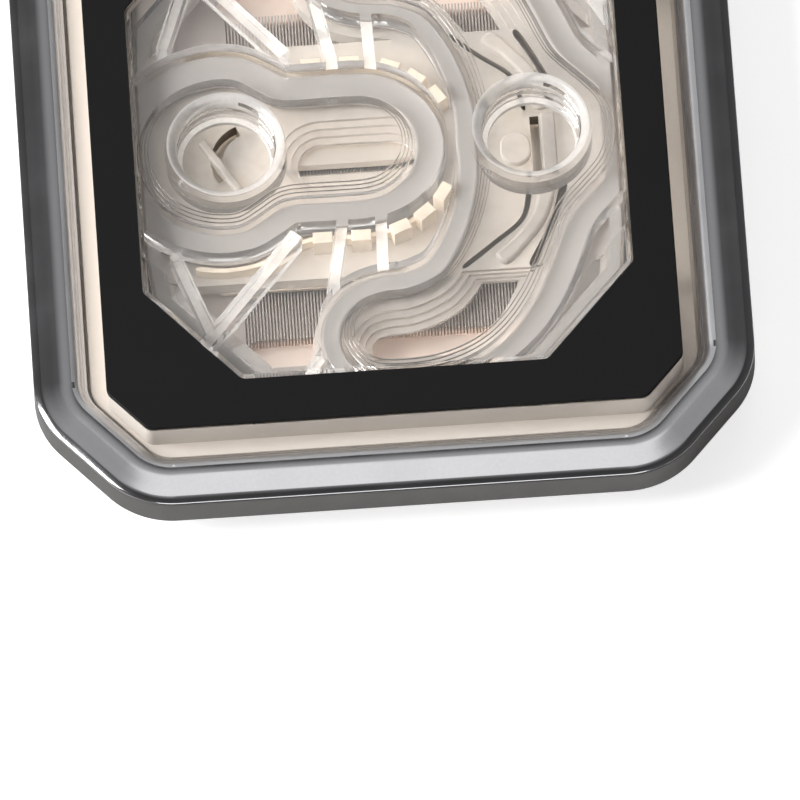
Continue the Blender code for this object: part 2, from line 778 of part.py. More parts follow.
def cut_mouths(guide, chamber, outlet, half):
    """The stepped jet mouth in the middle and the stepped outlet mouths, front and back."""
    [(jet_x, _)] = fitted([(JET_MOUTH_X, 0.0)], chamber)
    for step in range(MOUTH_STEPS):
        last = step == MOUTH_STEPS - 1
        depth = BELOW if last else GUIDE_TOP - GUIDE_THICKNESS * (step + 1) / MOUTH_STEPS
        grow = 2 * MOUTH_STEP * (MOUTH_STEPS - 1 - step)
        jet = slot(jet_x, 0, JET_MOUTH_LENGTH + grow, JET_MOUTH_WIDTH + grow)
        cut(guide, prism(f"jet_mouth_{step + 1}", [jet], depth, ABOVE, CUTTERS))
        inner = offset(outlet, -slimmed(MOUTH_STEP, chamber) * (step + 1))
        mouth = prism(f"outlet_mouth_{step + 1}", [inner], depth, ABOVE, CUTTERS)
        limit = half + 0.4 + 0.6 * step
        cut(mouth, box(f"mouth_limit_{step + 1}", (-60, -limit, BELOW - 1), (60, limit, ABOVE + 1), CUTTERS))
        cut(guide, mouth)


def port_floors(guide, chamber):
    """The curved slot and rib under the inlet port, and the boss, slot and bar under the outlet port."""
    (inlet_x, _), (outlet_x, _) = port_places(chamber)
    centre, middle = inlet_x + INLET_SLOT_CENTRE, INLET_SLOT_RADIUS * math.sin(math.radians(12))
    near, far = INLET_SLOT_RADIUS - INLET_SLOT_WIDTH / 2, INLET_SLOT_RADIUS + INLET_SLOT_WIDTH / 2
    start, end = INLET_SLOT_ENDS
    bend = arc(centre, middle, far, start, end, 8) + arc(centre, middle, near, end, start, 8)
    cut(guide, prism("inlet_floor_slot", [bend], BELOW, ABOVE, CUTTERS))
    rib = bar((inlet_x - INLET_SLOT_WIDTH * 2, far - 1.5), (inlet_x + INLET_SLOT_WIDTH, 0.5 - near), INLET_RIB_WIDTH)
    low, high = GUIDE_TOP - PORT_FLOOR_RISE, GUIDE_TOP + PORT_FLOOR_RISE
    join(guide, prism("inlet_floor_rib", [rib], low, high, CUTTERS))

    reach = OUTLET_SLOT_LENGTH / 2
    slot_x, bar_x = outlet_x + OUTLET_SLOT_X, outlet_x + OUTLET_BAR_X
    gap = bar((slot_x, -reach), (slot_x, reach), OUTLET_SLOT_WIDTH)
    cut(guide, prism("outlet_floor_slot", [gap], BELOW, ABOVE, CUTTERS))
    wall = bar((bar_x, -reach), (bar_x, reach), OUTLET_BAR_WIDTH)
    join(guide, prism("outlet_floor_bar", [wall], low, high, CUTTERS))
    boss = [(y, x) for x, y in slot(0, 0, OUTLET_BOSS_LENGTH, OUTLET_BOSS_WIDTH)]
    boss = [(outlet_x + OUTLET_BOSS_X + x, y) for x, y in reversed(boss)]
    join(guide, prism("outlet_floor_boss", [boss], low, high, CUTTERS))


def tooth_places(chamber):
    """The middle and the turn of each tooth along the inlet wall, front and back."""
    clear = slimmed(INLET_WALL, chamber) + GAP + TOOTH_DEPTH / 2
    [(across, along)] = fitted([(INLET_HALF_WIDTH, INLET_HALF_WIDTH)], chamber)
    [(centre, _)] = fitted([(INLET_END - INLET_HALF_WIDTH, 0.0)], chamber)
    straight = fitted(drawn([(x, 0.0) for x in TOOTH_STRAIGHT_X]), chamber)
    front = [(x, -along - clear, 0.0) for x, _ in straight]
    for degrees in TOOTH_ANGLES:
        angle = math.radians(degrees)
        x, y = centre + (across + clear) * math.cos(angle), (along + clear) * math.sin(angle)
        front.append((x, y, angle + math.pi / 2))
    return front + [(x, -y, -angle) for x, y, angle in front]


def tooth(name, x, y, angle):
    """One block of the castellated rim."""
    ux, uy = math.cos(angle), math.sin(angle)
    half = TOOTH_WIDTH / 2
    outline = bar((x - ux * half, y - uy * half), (x + ux * half, y + uy * half), TOOTH_DEPTH)
    return prism(name, [outline], GUIDE_TOP - 0.6, GUIDE_TOP + TOOTH_HEIGHT, CUTTERS)


def jet_plate(finish):
    """The thin plate over the fins, with the jet slot across them."""
    half_x, half_y = JET_PLATE_WIDTH / 2, JET_PLATE_LENGTH / 2
    corners = [(-half_x, -half_y), (half_x, -half_y), (half_x, half_y), (-half_x, half_y)]
    loops = [rounded(corners, 1.0, 3), slot(0, 0, JET_SLOT_LENGTH, JET_SLOT_WIDTH, 4)]
    return dress(prism("jet_plate", loops, JET_PLATE_BOTTOM, JET_PLATE_TOP, PARTS), finish)


def cold_plate(outer, finish):
    """The copper plate with its contact pad, recess and micro fins."""
    plate = outer.inset(PLATE_INSET)
    pad = outer.inset(PLATE_INSET + 7.5)
    stack = [
        (pad.inset(0.2), 0.0),
        (pad, 0.2),
        (pad, PAD_HEIGHT),
        (plate.inset(0.3), PAD_HEIGHT),
        (plate, PAD_HEIGHT + 0.3),
        (plate, COLD_PLATE_TOP - 0.2),
        (plate.inset(0.2), COLD_PLATE_TOP),
    ]
    copper = loft("cold_plate", [(shape.points(), z) for shape, z in stack], PARTS)
    half_x, fins, ends = FIN_FIELD_WIDTH / 2, FIN_LENGTH / 2, FIN_LENGTH / 2 + RECESS_MARGIN
    for name, near, far in (("front_recess", -ends, -fins), ("back_recess", fins, ends)):
        corners = [(-half_x, near), (half_x, near), (half_x, far), (-half_x, far)]
        recess = prism(name, [rounded(corners, RECESS_RADIUS, 3)], RECESS_FLOOR, ABOVE, CUTTERS)
        cut(copper, recess)
    cut(copper, fin_slots())
    seats = screw_seat(PAD_HEIGHT, PLATE_SCREW_RADIUS, PLATE_SCREW_HEAD_RADIUS)
    cut(copper, drill("plate_screw_seats", plate_screw_places(outer), seats, SCREW_SIDES))
    return dress(copper, finish, 20.0)


def fin_slots():
    """The slots between the fins: one thin box repeated across the field."""
    count = int((FIN_FIELD_WIDTH - FIN_SLOT) / FIN_PITCH)
    first = -(count - 1) * FIN_PITCH / 2
    reach = FIN_LENGTH / 2 + 0.8
    low = (first - FIN_SLOT / 2, -reach, FIN_ROOT)
    high = (first + FIN_SLOT / 2, reach, COLD_PLATE_TOP + 1.0)
    slots = box("fin_slots", low, high, CUTTERS)
    row = slots.modifiers.new("row of slots", "ARRAY")
    row.use_relative_offset = False
    row.use_constant_offset = True
    row.constant_offset_displace = (FIN_PITCH * MM, 0, 0)
    row.count = count
    row.use_merge_vertices = False
    return slots


def o_ring(outer, finish):
    """The main seal, a round cord along the groove."""
    curve = bpy.data.curves.new("main_o_ring", "CURVE")
    curve.dimensions = "3D"
    curve.bevel_depth = O_RING_CORD / 2 * MM
    curve.bevel_resolution = 1
    path = outer.inset(O_RING_INSET)
    points = Octagon(path.half_x, path.half_y, path.reach, 3.0).points(3)
    spline = curve.splines.new("POLY")
    spline.points.add(len(points) - 1)
    height = COLD_PLATE_TOP + (GAP + O_RING_CORD) / 2
    for point, (x, y) in zip(spline.points, points):
        point.co = (x * MM, y * MM, height * MM, 1.0)
    spline.use_cyclic_u = True
    cord = bpy.data.objects.new("main_o_ring", curve)
    PARTS.objects.link(cord)
    curve.materials.append(finish)
    return cord


def screws(outer, finish):
    """The cold plate screws and the frame screws."""
    for number, (x, y) in enumerate(plate_screw_places(outer), 1):
        screw(f"cold_plate_screw_{number}", x, y, PAD_HEIGHT, PLATE_SCREW_RADIUS,
              PLATE_SCREW_HEAD_RADIUS, PLATE_SCREW_LENGTH, finish)
    for number, (x, y) in enumerate(frame_screw_places(outer), 1):
        screw(f"frame_screw_{number}", x, y, BASE_BOTTOM, FRAME_SCREW_RADIUS,
              FRAME_SCREW_HEAD_RADIUS, FRAME_SCREW_LENGTH, finish)


def build():
    """Builds every piece of the block."""
    acrylic = material("clear_acrylic", (0.93, 0.93, 0.92), 0.0, 0.02, 1.0)
    black = material("black_mask", (0.015, 0.015, 0.016), 0.0, 0.55)
    chrome = material("chrome_plate", (0.72, 0.72, 0.73), 1.0, 0.08)
    matt = material("matt_nickel", (0.22, 0.22, 0.22), 1.0, 0.45)
    copper = material("plated_copper", (0.85, 0.68, 0.58), 1.0, 0.25)
    steel = material("stainless_steel", (0.66, 0.64, 0.61), 1.0, 0.25)
    acetal = material("natural_acetal", (0.82, 0.78, 0.72), 0.0, 0.4)
    silicone = material("clear_silicone", (0.8, 0.79, 0.77), 0.0, 0.35)
    nitrile = material("black_nitrile", (0.02, 0.02, 0.02), 0.0, 0.5)

    outer, mask, window = outlines()
    chamber = window.inset(CHAMBER_INSET)
    inlet, outlet = inlet_loop(chamber), outlet_loop(chamber)
    cold_plate(outer, copper)
    jet_plate(steel)
    flow_guide(chamber, inlet, outlet, acetal)
    gasket(chamber, inlet, outlet, silicone)
    o_ring(outer, nitrile)
    acrylic_top(outer, mask, window, acrylic)
    face_mask(mask, window, black)
    base_frame(outer, matt)
    polished_frame(outer, chrome)
    screws(outer, steel)


clear_scene()
PARTS = collection("cpu_water_block")
CUTTERS = collection("cutters")
build()
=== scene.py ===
"""Looks of a CPU water block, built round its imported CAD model.

The clear top, its duct insert and both frames are modelled again here with finer curves, threads and
tool marks. The cold plate, O-ring and screws keep their CAD shapes and get finished metals.
"""

import logging
import math
from collections import Counter
from dataclasses import dataclass, field
from enum import Enum, IntEnum
from typing import Callable, Iterable, Sequence

import bpy
from mathutils import Matrix, Vector


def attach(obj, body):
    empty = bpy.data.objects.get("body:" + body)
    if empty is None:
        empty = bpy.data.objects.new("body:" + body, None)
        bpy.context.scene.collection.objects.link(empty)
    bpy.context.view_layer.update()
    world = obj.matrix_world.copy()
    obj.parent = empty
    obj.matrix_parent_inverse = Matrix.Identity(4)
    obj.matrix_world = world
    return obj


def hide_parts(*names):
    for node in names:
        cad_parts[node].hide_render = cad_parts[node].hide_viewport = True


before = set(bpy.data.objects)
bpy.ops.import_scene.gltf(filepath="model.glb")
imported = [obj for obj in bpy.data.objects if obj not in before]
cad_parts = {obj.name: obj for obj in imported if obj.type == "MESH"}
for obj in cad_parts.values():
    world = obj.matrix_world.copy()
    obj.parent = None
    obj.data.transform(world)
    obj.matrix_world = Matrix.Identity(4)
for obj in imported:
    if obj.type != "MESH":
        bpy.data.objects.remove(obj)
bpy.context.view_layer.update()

Point = tuple[float, float]
Loop = list[Point]

LOG = logging.getLogger("water_block")
MM = 0.001
BODY = "root"
# Heights below and above the whole block, and half the length of a strip across it, in millimetres
UNDER, OVER, ACROSS = -5.0, 40.0, 60.0
# Chords in a corner behind the window
INNER_STEPS = 4


def linear(code: str) -> tuple[float, float, float, float]:
    """Turns an sRGB hex colour into linear light.

    Args:
        code: Six hex digits, with or without a leading hash.

    Returns:
        Linear red, green and blue, with an alpha of one.
    """
    code = code.lstrip("#")
    channels = [int(code[i:i + 2], 16) / 255 for i in (0, 2, 4)]
    light = [c / 12.92 if c <= 0.04045 else ((c + 0.055) / 1.055) ** 2.4 for c in channels]
    return light[0], light[1], light[2], 1.0


def add_node(tree: bpy.types.NodeTree, kind: str, values: dict | None = None, links: dict | None = None,
             **settings: object) -> bpy.types.Node:
    """Adds a node with its settings, socket values and incoming links.

    Args:
        tree: The node tree that gets the node.
        kind: Blender's name of the node type.
        values: Input socket name or index to the value set on it.
        links: Input socket name or index to the output socket that feeds it.
        **settings: Properties set on the node itself.

    Returns:
        The new node.
    """
    node = tree.nodes.new(kind)
    for name, value in settings.items():
        setattr(node, name, value)
    for name, value in (values or {}).items():
        node.inputs[name].default_value = value
    for name, socket in (links or {}).items():
        tree.links.new(socket, node.inputs[name])
    return node


def deselect() -> None:
    """Leaves nothing selected."""
    if bpy.context.object and bpy.context.object.mode != "OBJECT":
        bpy.ops.object.mode_set(mode="OBJECT")
    bpy.ops.object.select_all(action="DESELECT")


def pick(piece: bpy.types.Object) -> bpy.types.Object:
    """Makes one object the only selected and active one."""
    deselect()
    piece.select_set(True)
    bpy.context.view_layer.objects.active = piece
    return piece


def unit(x: float, y: float) -> Point:
    """A vector of length one."""
    length = math.hypot(x, y)
    return x / length, y / length


def arc(cx: float, cy: float, radius: float, start: float, end: float, steps: int) -> Loop:
    """Points on an arc.

    Args:
        cx: Centre along X.
        cy: Centre along Y.
        radius: Radius of the arc.
        start: First angle in degrees.
        end: Last angle in degrees.
        steps: Number of chords.

    Returns:
        The points, from start to end.
    """
    angles = [math.radians(start + (end - start) * k / steps) for k in range(steps + 1)]
    return [(cx + radius * math.cos(a), cy + radius * math.sin(a)) for a in angles]


def circle(cx: float, cy: float, radius: float, sides: int = 96) -> Loop:
    """A round outline."""
    return arc(cx, cy, radius, 0, 360 - 360 / sides, sides - 1)


def rounded(corners: Sequence[Point], radius: float, steps: int) -> Loop:
    """Rounds each corner of a closed outline.

    Args:
        corners: The sharp corners, anticlockwise.
        radius: Radius of every corner.
        steps: Chords in each corner.

    Returns:
        The rounded outline.
    """
    outline = []
    count = len(corners)
    for i, (x, y) in enumerate(corners):
        ax, ay = corners[i - 1]
        bx, by = corners[(i + 1) % count]
        ux, uy = unit(ax - x, ay - y)
        vx, vy = unit(bx - x, by - y)
        half = math.acos(max(-1.0, min(1.0, ux * vx + uy * vy))) / 2
        run = radius / math.tan(half)
        mx, my = unit(ux + vx, uy + vy)
        cx, cy = x + mx * radius / math.sin(half), y + my * radius / math.sin(half)
        start = math.atan2(y + uy * run - cy, x + ux * run - cx)
        end = math.atan2(y + vy * run - cy, x + vx * run - cx)
        turn = (end - start + math.pi) % (2 * math.pi) - math.pi
        for k in range(steps + 1):
            angle = start + turn * k / steps
            outline.append((cx + radius * math.cos(angle), cy + radius * math.sin(angle)))
    return outline


def smooth(points: Loop, samples: int) -> Loop:
    """A closed Catmull-Rom curve through the points.

    Args:
        points: Points that the curve passes through.
        samples: Chords between two neighbouring points.

    Returns:
        The points of the curve.
    """
    loop = []
    count = len(points)
    for i in range(count):
        a, b, c, d = (points[(i + k - 1) % count] for k in range(4))
        for k in range(samples):
            t = k / samples
            loop.append(tuple(
                0.5 * (2 * b[n] + (c[n] - a[n]) * t + (2 * a[n] - 5 * b[n] + 4 * c[n] - d[n]) * t**2
                       + (3 * b[n] - a[n] - 3 * c[n] + d[n]) * t**3)
                for n in range(2)
            ))
    return loop


def mirrored(front: Loop) -> Loop:
    """Closes a loop that starts and ends on the X axis by its mirror image behind that axis."""
    return front + [(x, -y) for x, y in reversed(front[1:-1])]


def both_sides(front: Loop) -> tuple[Loop, Loop]:
    """An outline and its mirror image behind the X axis."""
    return front, [(x, -y) for x, y in reversed(front)]


def offset(loop: Loop, near: float, far: float | None = None) -> Loop:
    """Moves an anticlockwise loop outwards.

    Args:
        loop: The outline.
        near: Distance on its left side.
        far: Distance on its right side. None takes near.

    Returns:
        The moved outline.
    """
    far = near if far is None else far
    moved = []
    count = len(loop)
    for i, (x, y) in enumerate(loop):
        ax, ay = loop[i - 1]
        bx, by = loop[(i + 1) % count]
        tx, ty = unit(bx - ax, by - ay)
        distance = near + (far - near) * max(0.0, ty)
        moved.append((x + ty * distance, y - tx * distance))
    return moved


def duct(loop: Loop, near: float = 0.0, far: float | None = None, samples: int = 5) -> Loop:
    """A duct's outline moved outwards, with fine round curves.

    Args:
        loop: The coarse outline, anticlockwise.
        near: Distance on its left side.
        far: Distance on its right side. None takes near.
        samples: Chords between two points of the coarse outline.

    Returns:
        The fine outline.
    """
    return smooth(offset(loop, near, far) if near or far else loop, samples)


def obround(cx: float, cy: float, length: float, width: float, steps: int = 24) -> Loop:
    """An outline with two straight sides along X and two round ends."""
    reach = (length - width) / 2
    return arc(cx + reach, cy, width / 2, -90, 90, steps) + arc(cx - reach, cy, width / 2, 90, 270, steps)


def bar(start: Point, end: Point, width: float) -> Loop:
    """The outline of a straight bar between two points."""
    ux, uy = unit(end[0] - start[0], end[1] - start[1])
    nx, ny = -uy * width / 2, ux * width / 2
    (ax, ay), (bx, by) = start, end
    return [(ax - nx, ay - ny), (bx - nx, by - ny), (bx + nx, by + ny), (ax + nx, ay + ny)]


def strip(half: float) -> Loop:
    """A strip along X that is longer than the block, by half its width."""
    return bar((-ACROSS, 0.0), (ACROSS, 0.0), 2 * half)


def ribbon(path: Sequence[Point], width: float) -> Loop:
    """The outline of a curved band with soft ends.

    Args:
        path: Points along its middle.
        width: Its width.

    Returns:
        The outline, anticlockwise.
    """
    left, right = [], []
    for i, (x, y) in enumerate(path):
        (ax, ay), (bx, by) = path[max(i - 1, 0)], path[min(i + 1, len(path) - 1)]
        tx, ty = unit(bx - ax, by - ay)
        left.append((x - ty * width / 2, y + tx * width / 2))
        right.append((x + ty * width / 2, y - tx * width / 2))
    return smooth(right + left[::-1], 6)


@dataclass(frozen=True)
class Octagon:
    """A rectangle with four equal corner chamfers and rounded corners, in millimetres."""

    half_x: float
    half_y: float
    reach: float
    radius: float
    chamfer: float = math.radians(48.5)

    def inset(self, distance: float) -> "Octagon":
        """The same outline moved inwards."""
        return Octagon(self.half_x - distance, self.half_y - distance, self.reach - distance,
                       max(self.radius - distance, 0.6))

    def corners(self) -> Loop:
        """The eight sharp corners, anticlockwise."""
        nx, ny = math.sin(self.chamfer), math.cos(self.chamfer)
        quarter = [(self.half_x, (self.reach - self.half_x * nx) / ny),
                   ((self.reach - self.half_y * ny) / nx, self.half_y)]
        top = quarter + [(-x, y) for x, y in reversed(quarter)]
        return top + [(-x, -y) for x, y in top]

    def points(self, steps: int = 10) -> Loop:
        """The rounded outline, anticlockwise."""
        return rounded(self.corners(), self.radius, steps)


@dataclass(frozen=True)
class Plan:
    """The outlines and heights that the pieces share, in millimetres."""

    outer: Octagon = Octagon(40.0, 43.1, 50.6, 10.0)
    mask: Octagon = Octagon(31.95, 35.05, 43.9, 1.5)
    window: Octagon = Octagon(27.25, 29.65, 32.35, 1.2)
    gap: float = 0.3
    seam: float = 0.2
    face: float = 12.0
    plate: float = 0.5
    step_top: float = 8.0
    port_x: float = 17.0
    samples: int = 2

    @property
    def chamber(self) -> Octagon:
        """The space round the ducts."""
        return self.window.inset(0.6)

    def inlet(self) -> Loop:
        """The duct from the left port to the jet mouth, anticlockwise."""
        centre, neck, end = -17.5, -8.2, -2.3
        front = arc(centre, 0, 9.3, 180, 282, 4)
        front += [(neck - 3.4, -6.6), (neck - 0.4, -6.1)]
        front += arc(end, 0, 6.1, 270, 360, 3)
        return smooth(mirrored(front), self.samples)

    def outlet(self) -> Loop:
        """The duct from the fin ends, front and back, to the right port, anticlockwise."""
        port = arc(self.port_x, 0, 9.4, -52, 0, 2)
        near = [(11.2, 0.0), (11.2, -4.0), (10.3, -8.6), (8.6, -13.0), (6.0, -16.8), (2.2, -18.5)]
        end = arc(-0.2, -23.8, 5.1, 90, 262, 5)
        far = [(4.6, -28.7), (9.6, -26.9), (13.4, -23.7), (16.3, -19.3), (18.5, -14.3), (20.2, -10.4)]
        return smooth(mirrored(near + end + far + port), self.samples)


def solid(name: str, loops: Iterable[Loop], low: float, high: float, edge: float = 0.0) -> bpy.types.Object:
    """Draws a flat outline, thickens it and makes it a closed mesh.

    Args:
        name: Name of the object.
        loops: The outline and its holes, in millimetres.
        low: Lowest height in millimetres.
        high: Highest height in millimetres.
        edge: Radius of the round along every rim, in millimetres.

    Returns:
        The mesh object, with its place in its mesh.
    """
    curve = bpy.data.curves.new(name, "CURVE")
    curve.dimensions = "2D"
    curve.fill_mode = "BOTH"
    curve.extrude = ((high - low) / 2 - edge) * MM
    curve.bevel_depth = edge * MM
    curve.offset = -edge * MM
    curve.bevel_resolution = 2
    for loop in loops:
        spline = curve.splines.new("POLY")
        spline.points.add(len(loop) - 1)
        for point, (x, y) in zip(spline.points, loop):
            point.co = (x * MM, y * MM, 0.0, 1.0)
        spline.use_cyclic_u = True
    piece = bpy.data.objects.new(name, curve)
    bpy.context.scene.collection.objects.link(piece)
    piece.location = (0.0, 0.0, (low + high) * MM / 2)
    pick(piece)
    bpy.ops.object.convert(target="MESH")
    bpy.ops.object.transform_apply(location=True, rotation=True, scale=True)
    bpy.ops.object.mode_set(mode="EDIT")
    bpy.ops.mesh.select_all(action="SELECT")
    bpy.ops.mesh.remove_doubles(threshold=0.0005 * MM)
    bpy.ops.mesh.dissolve_limited(angle_limit=math.radians(0.1))
    bpy.ops.mesh.normals_make_consistent(inside=False)
    bpy.ops.object.mode_set(mode="OBJECT")
    return bpy.context.object


def through(name: str, outline: Loop, more: float = 0.0) -> bpy.types.Object:
    """A cutter that passes the whole block.

    Args:
        name: Name of the object.
        outline: Its outline in millimetres.
        more: How much further both of its ends reach, for a tool that shapes another cutter.

    Returns:
        The mesh object.
    """
    return solid(name, [outline], UNDER - more, OVER + more)


def bridged(name: str, sections: Sequence[tuple[Loop, float]], ring: bool = False) -> bpy.types.Object:
    """Bridges equal outlines, drawn well apart, and then sets each one at its height.

    Args:
        name: Name of the object.
        sections: Each outline with its height, in millimetres.
        ring: True joins the last section to the first; False caps both ends.

    Returns:
        The mesh object.
    """
    count = len(sections[0][0])
    spacing = 20.0
    apart = [(x * MM, y * MM, row * spacing * MM) for row, (loop, _) in enumerate(sections) for x, y in loop]
    starts = [row * count for row in range(len(sections))]
    edges = [(start + i, start + (i + 1) % count) for start in starts for i in range(count)]
    mesh = bpy.data.meshes.new(name)
    mesh.from_pydata(apart, edges, [])
    piece = bpy.data.objects.new(name, mesh)
    bpy.context.scene.collection.objects.link(piece)
    pick(piece)
    pairs = [(row, row + 1) for row in range(len(sections) - 1)]
    if ring:
        pairs.append((len(sections) - 1, 0))
    for lower, upper in pairs:
        select_rows(piece, count, (lower, upper))
        bpy.ops.mesh.bridge_edge_loops()
        bpy.ops.object.mode_set(mode="OBJECT")
    if not ring:
        for row in (0, len(sections) - 1):
            select_rows(piece, count, (row,))
            bpy.ops.mesh.edge_face_add()
            bpy.ops.object.mode_set(mode="OBJECT")
    places = [(x * MM, y * MM, z * MM) for loop, z in sections for x, y in loop]
    for vertex, place in zip(piece.data.vertices, places):
        vertex.co = place
    bpy.ops.object.mode_set(mode="EDIT")
    bpy.ops.mesh.select_all(action="SELECT")
    bpy.ops.mesh.normals_make_consistent(inside=False)
    bpy.ops.object.mode_set(mode="OBJECT")
    return piece


def select_rows(piece: bpy.types.Object, count: int, rows: Sequence[int]) -> None:
    """Selects the edge loops of some sections and opens edit mode.

    Args:
        piece: The object, in object mode.
        count: Points in each section.
        rows: Which sections.
    """
    bpy.ops.object.mode_set(mode="EDIT")
    bpy.ops.mesh.select_mode(type="EDGE")
    bpy.ops.mesh.select_all(action="DESELECT")
    bpy.ops.object.mode_set(mode="OBJECT")
    wanted = set(rows)
    for edge in piece.data.edges:
        first, second = (v // count for v in edge.vertices)
        edge.select = first == second and first in wanted
    bpy.ops.object.mode_set(mode="EDIT")


def combine(piece: bpy.types.Object, tool: bpy.types.Object, operation: str) -> bpy.types.Object:
    """Applies one exact Boolean and removes its tool.

    Args:
        piece: The object that stays.
        tool: The object that cuts, joins or bounds it.
        operation: DIFFERENCE, UNION or INTERSECT.

    Returns:
        The piece.
    """
    pick(piece)
    step = piece.modifiers.new(operation.lower(), "BOOLEAN")
    step.operation = operation
    step.object = tool
    step.solver = "EXACT"
    bpy.ops.object.modifier_apply(modifier=step.name)
    bpy.data.objects.remove(tool, do_unlink=True)
    return piece


def finish_mesh(piece: bpy.types.Object, angle: float = 32.0) -> bpy.types.Object:
    """Shades a piece smooth over its rounds, with its large flat faces kept flat."""
    pick(piece)
    bpy.ops.object.shade_smooth_by_angle(angle=math.radians(angle))
    step = piece.modifiers.new("weighted", "WEIGHTED_NORMAL")
    step.keep_sharp = True
    step.weight = 100
    bpy.ops.object.modifier_apply(modifier=step.name)
    return piece


def set_face_slots(piece: bpy.types.Object, choose: Callable[[bpy.types.MeshPolygon], int]) -> None:
    """Gives each face the material slot that a rule picks."""
    for face in piece.data.polygons:
        face.material_index = choose(face)


def paint(piece: bpy.types.Object, *materials: bpy.types.Material) -> bpy.types.Object:
    """Gives a piece these materials in place of its own."""
    piece.data.materials.clear()
    for material in materials:
        piece.data.materials.append(material)
    return piece


def new_material(name: str) -> tuple[bpy.types.Material, bpy.types.NodeTree, bpy.types.Node]:
    """A new material with its node tree and its Principled shader."""
    made = bpy.data.materials.new(name)
    made.use_nodes = True
    return made, made.node_tree, made.node_tree.nodes["Principled BSDF"]


class Metal(Enum):
    """Metals and platings of this block, each with its colour."""

    CHROME = "#C9C9CB"
    BLASTED_NICKEL = "#7C7B79"
    PLATED_COPPER = "#C3BBB6"
    STAINLESS = "#CFCBC4"
    PALE_STEEL = "#EDE4DA"


@dataclass(frozen=True)
class MetalFinish:
    """A worked metal surface.

    The fine grain gives soft streaks in the reflections, and the cloud gives slightly uneven gloss.
    """

    name: str
    metal: Metal
    roughness: float
    grain_mm: tuple[float, float, float] = (0.25, 0.25, 0.25)
    bump: float = 0.02
    spread: float = 0.05
    cloud_scale: float = 160.0
    # A colour below a given height, lighter than the metal: painted light that brightens a shaded recess
    hollow: str | None = None
    lightened_below_mm: float = 0.0
    lightened_fade_mm: float = 0.4

    def build(self) -> bpy.types.Material:
        """Makes the material.

        Returns:
            A Principled metal with procedural grain.
        """
        made, tree, shader = new_material(self.name)
        shader.inputs["Metallic"].default_value = 1.0
        place = add_node(tree, "ShaderNodeTexCoord").outputs["Object"]
        scale = [1.0 / (size * MM) for size in self.grain_mm]
        mapped = add_node(tree, "ShaderNodeMapping", {"Scale": scale}, {"Vector": place}).outputs[0]
        grain = add_node(tree, "ShaderNodeTexNoise", {"Scale": 1.0, "Detail": 4.0, "Roughness": 0.6},
                         {"Vector": mapped})
        cloud = add_node(tree, "ShaderNodeTexNoise", {"Scale": self.cloud_scale, "Detail": 3.0},
                         {"Vector": place})
        rough = add_node(tree, "ShaderNodeMapRange",
                         {"From Min": 0.3, "From Max": 0.7, "To Min": self.roughness - self.spread,
                          "To Max": self.roughness + self.spread}, {"Value": cloud.outputs["Fac"]})
        tree.links.new(rough.outputs["Result"], shader.inputs["Roughness"])
        colour = linear(self.metal.value)
        shaded = [0.9 * c for c in colour[:3]] + [1.0]
        tint = add_node(tree, "ShaderNodeMixRGB", {"Color1": shaded, "Color2": colour},
                        {"Fac": grain.outputs["Fac"]})
        # Below the given height the colour fades to the lighter one, painted light in the shaded recess
        if self.hollow:
            height = add_node(tree, "ShaderNodeSeparateXYZ", {}, {0: place}).outputs["Z"]
            floor = (self.lightened_below_mm - self.lightened_fade_mm) * MM
            deep = add_node(tree, "ShaderNodeMapRange", {"From Min": self.lightened_below_mm * MM, "From Max": floor},
                            {"Value": height})
            tint = add_node(tree, "ShaderNodeMixRGB", {"Color2": linear(self.hollow)},
                            {"Fac": deep.outputs["Result"], "Color1": tint.outputs["Color"]})
        tree.links.new(tint.outputs["Color"], shader.inputs["Base Color"])
        relief = add_node(tree, "ShaderNodeBump", {"Strength": self.bump, "Distance": 0.02 * MM},
                          {"Height": grain.outputs["Fac"]})
        tree.links.new(relief.outputs["Normal"], shader.inputs["Normal"])
        return made


@dataclass(frozen=True)
class PlasticFinish:
    """A moulded, cut or coated plastic surface with faint clouding and a fine texture."""

    name: str
    colour: str
    shade: str
    roughness: float
    grain_mm: float = 0.15
    bump: float = 0.05
    transmission: float = 0.0
    specular: float = 0.5
    cloud_scale: float = 120.0

    def build(self) -> bpy.types.Material:
        """Makes the material.

        Returns:
            A Principled plastic with procedural texture.
        """
        made, tree, shader = new_material(self.name)
        shader.inputs["IOR"].default_value = 1.48
        shader.inputs["Transmission Weight"].default_value = self.transmission
        shader.inputs["Specular IOR Level"].default_value = self.specular
        place = add_node(tree, "ShaderNodeTexCoord").outputs["Object"]
        grain = add_node(tree, "ShaderNodeTexNoise", {"Scale": 1.0 / (self.grain_mm * MM), "Detail": 3.0},
                         {"Vector": place})
        cloud = add_node(tree, "ShaderNodeTexNoise", {"Scale": self.cloud_scale, "Detail": 4.0},
                         {"Vector": place})
        tint = add_node(tree, "ShaderNodeMixRGB", {"Color1": linear(self.shade), "Color2": linear(self.colour)},
                        {"Fac": cloud.outputs["Fac"]})
        tree.links.new(tint.outputs["Color"], shader.inputs["Base Color"])
        rough = add_node(tree, "ShaderNodeMapRange",
                         {"To Min": self.roughness - 0.05, "To Max": self.roughness + 0.05},
                         {"Value": grain.outputs["Fac"]})
        tree.links.new(rough.outputs["Result"], shader.inputs["Roughness"])
        relief = add_node(tree, "ShaderNodeBump", {"Strength": self.bump, "Distance": 0.03 * MM},
                          {"Height": grain.outputs["Fac"]})
        tree.links.new(relief.outputs["Normal"], shader.inputs["Normal"])
        return made


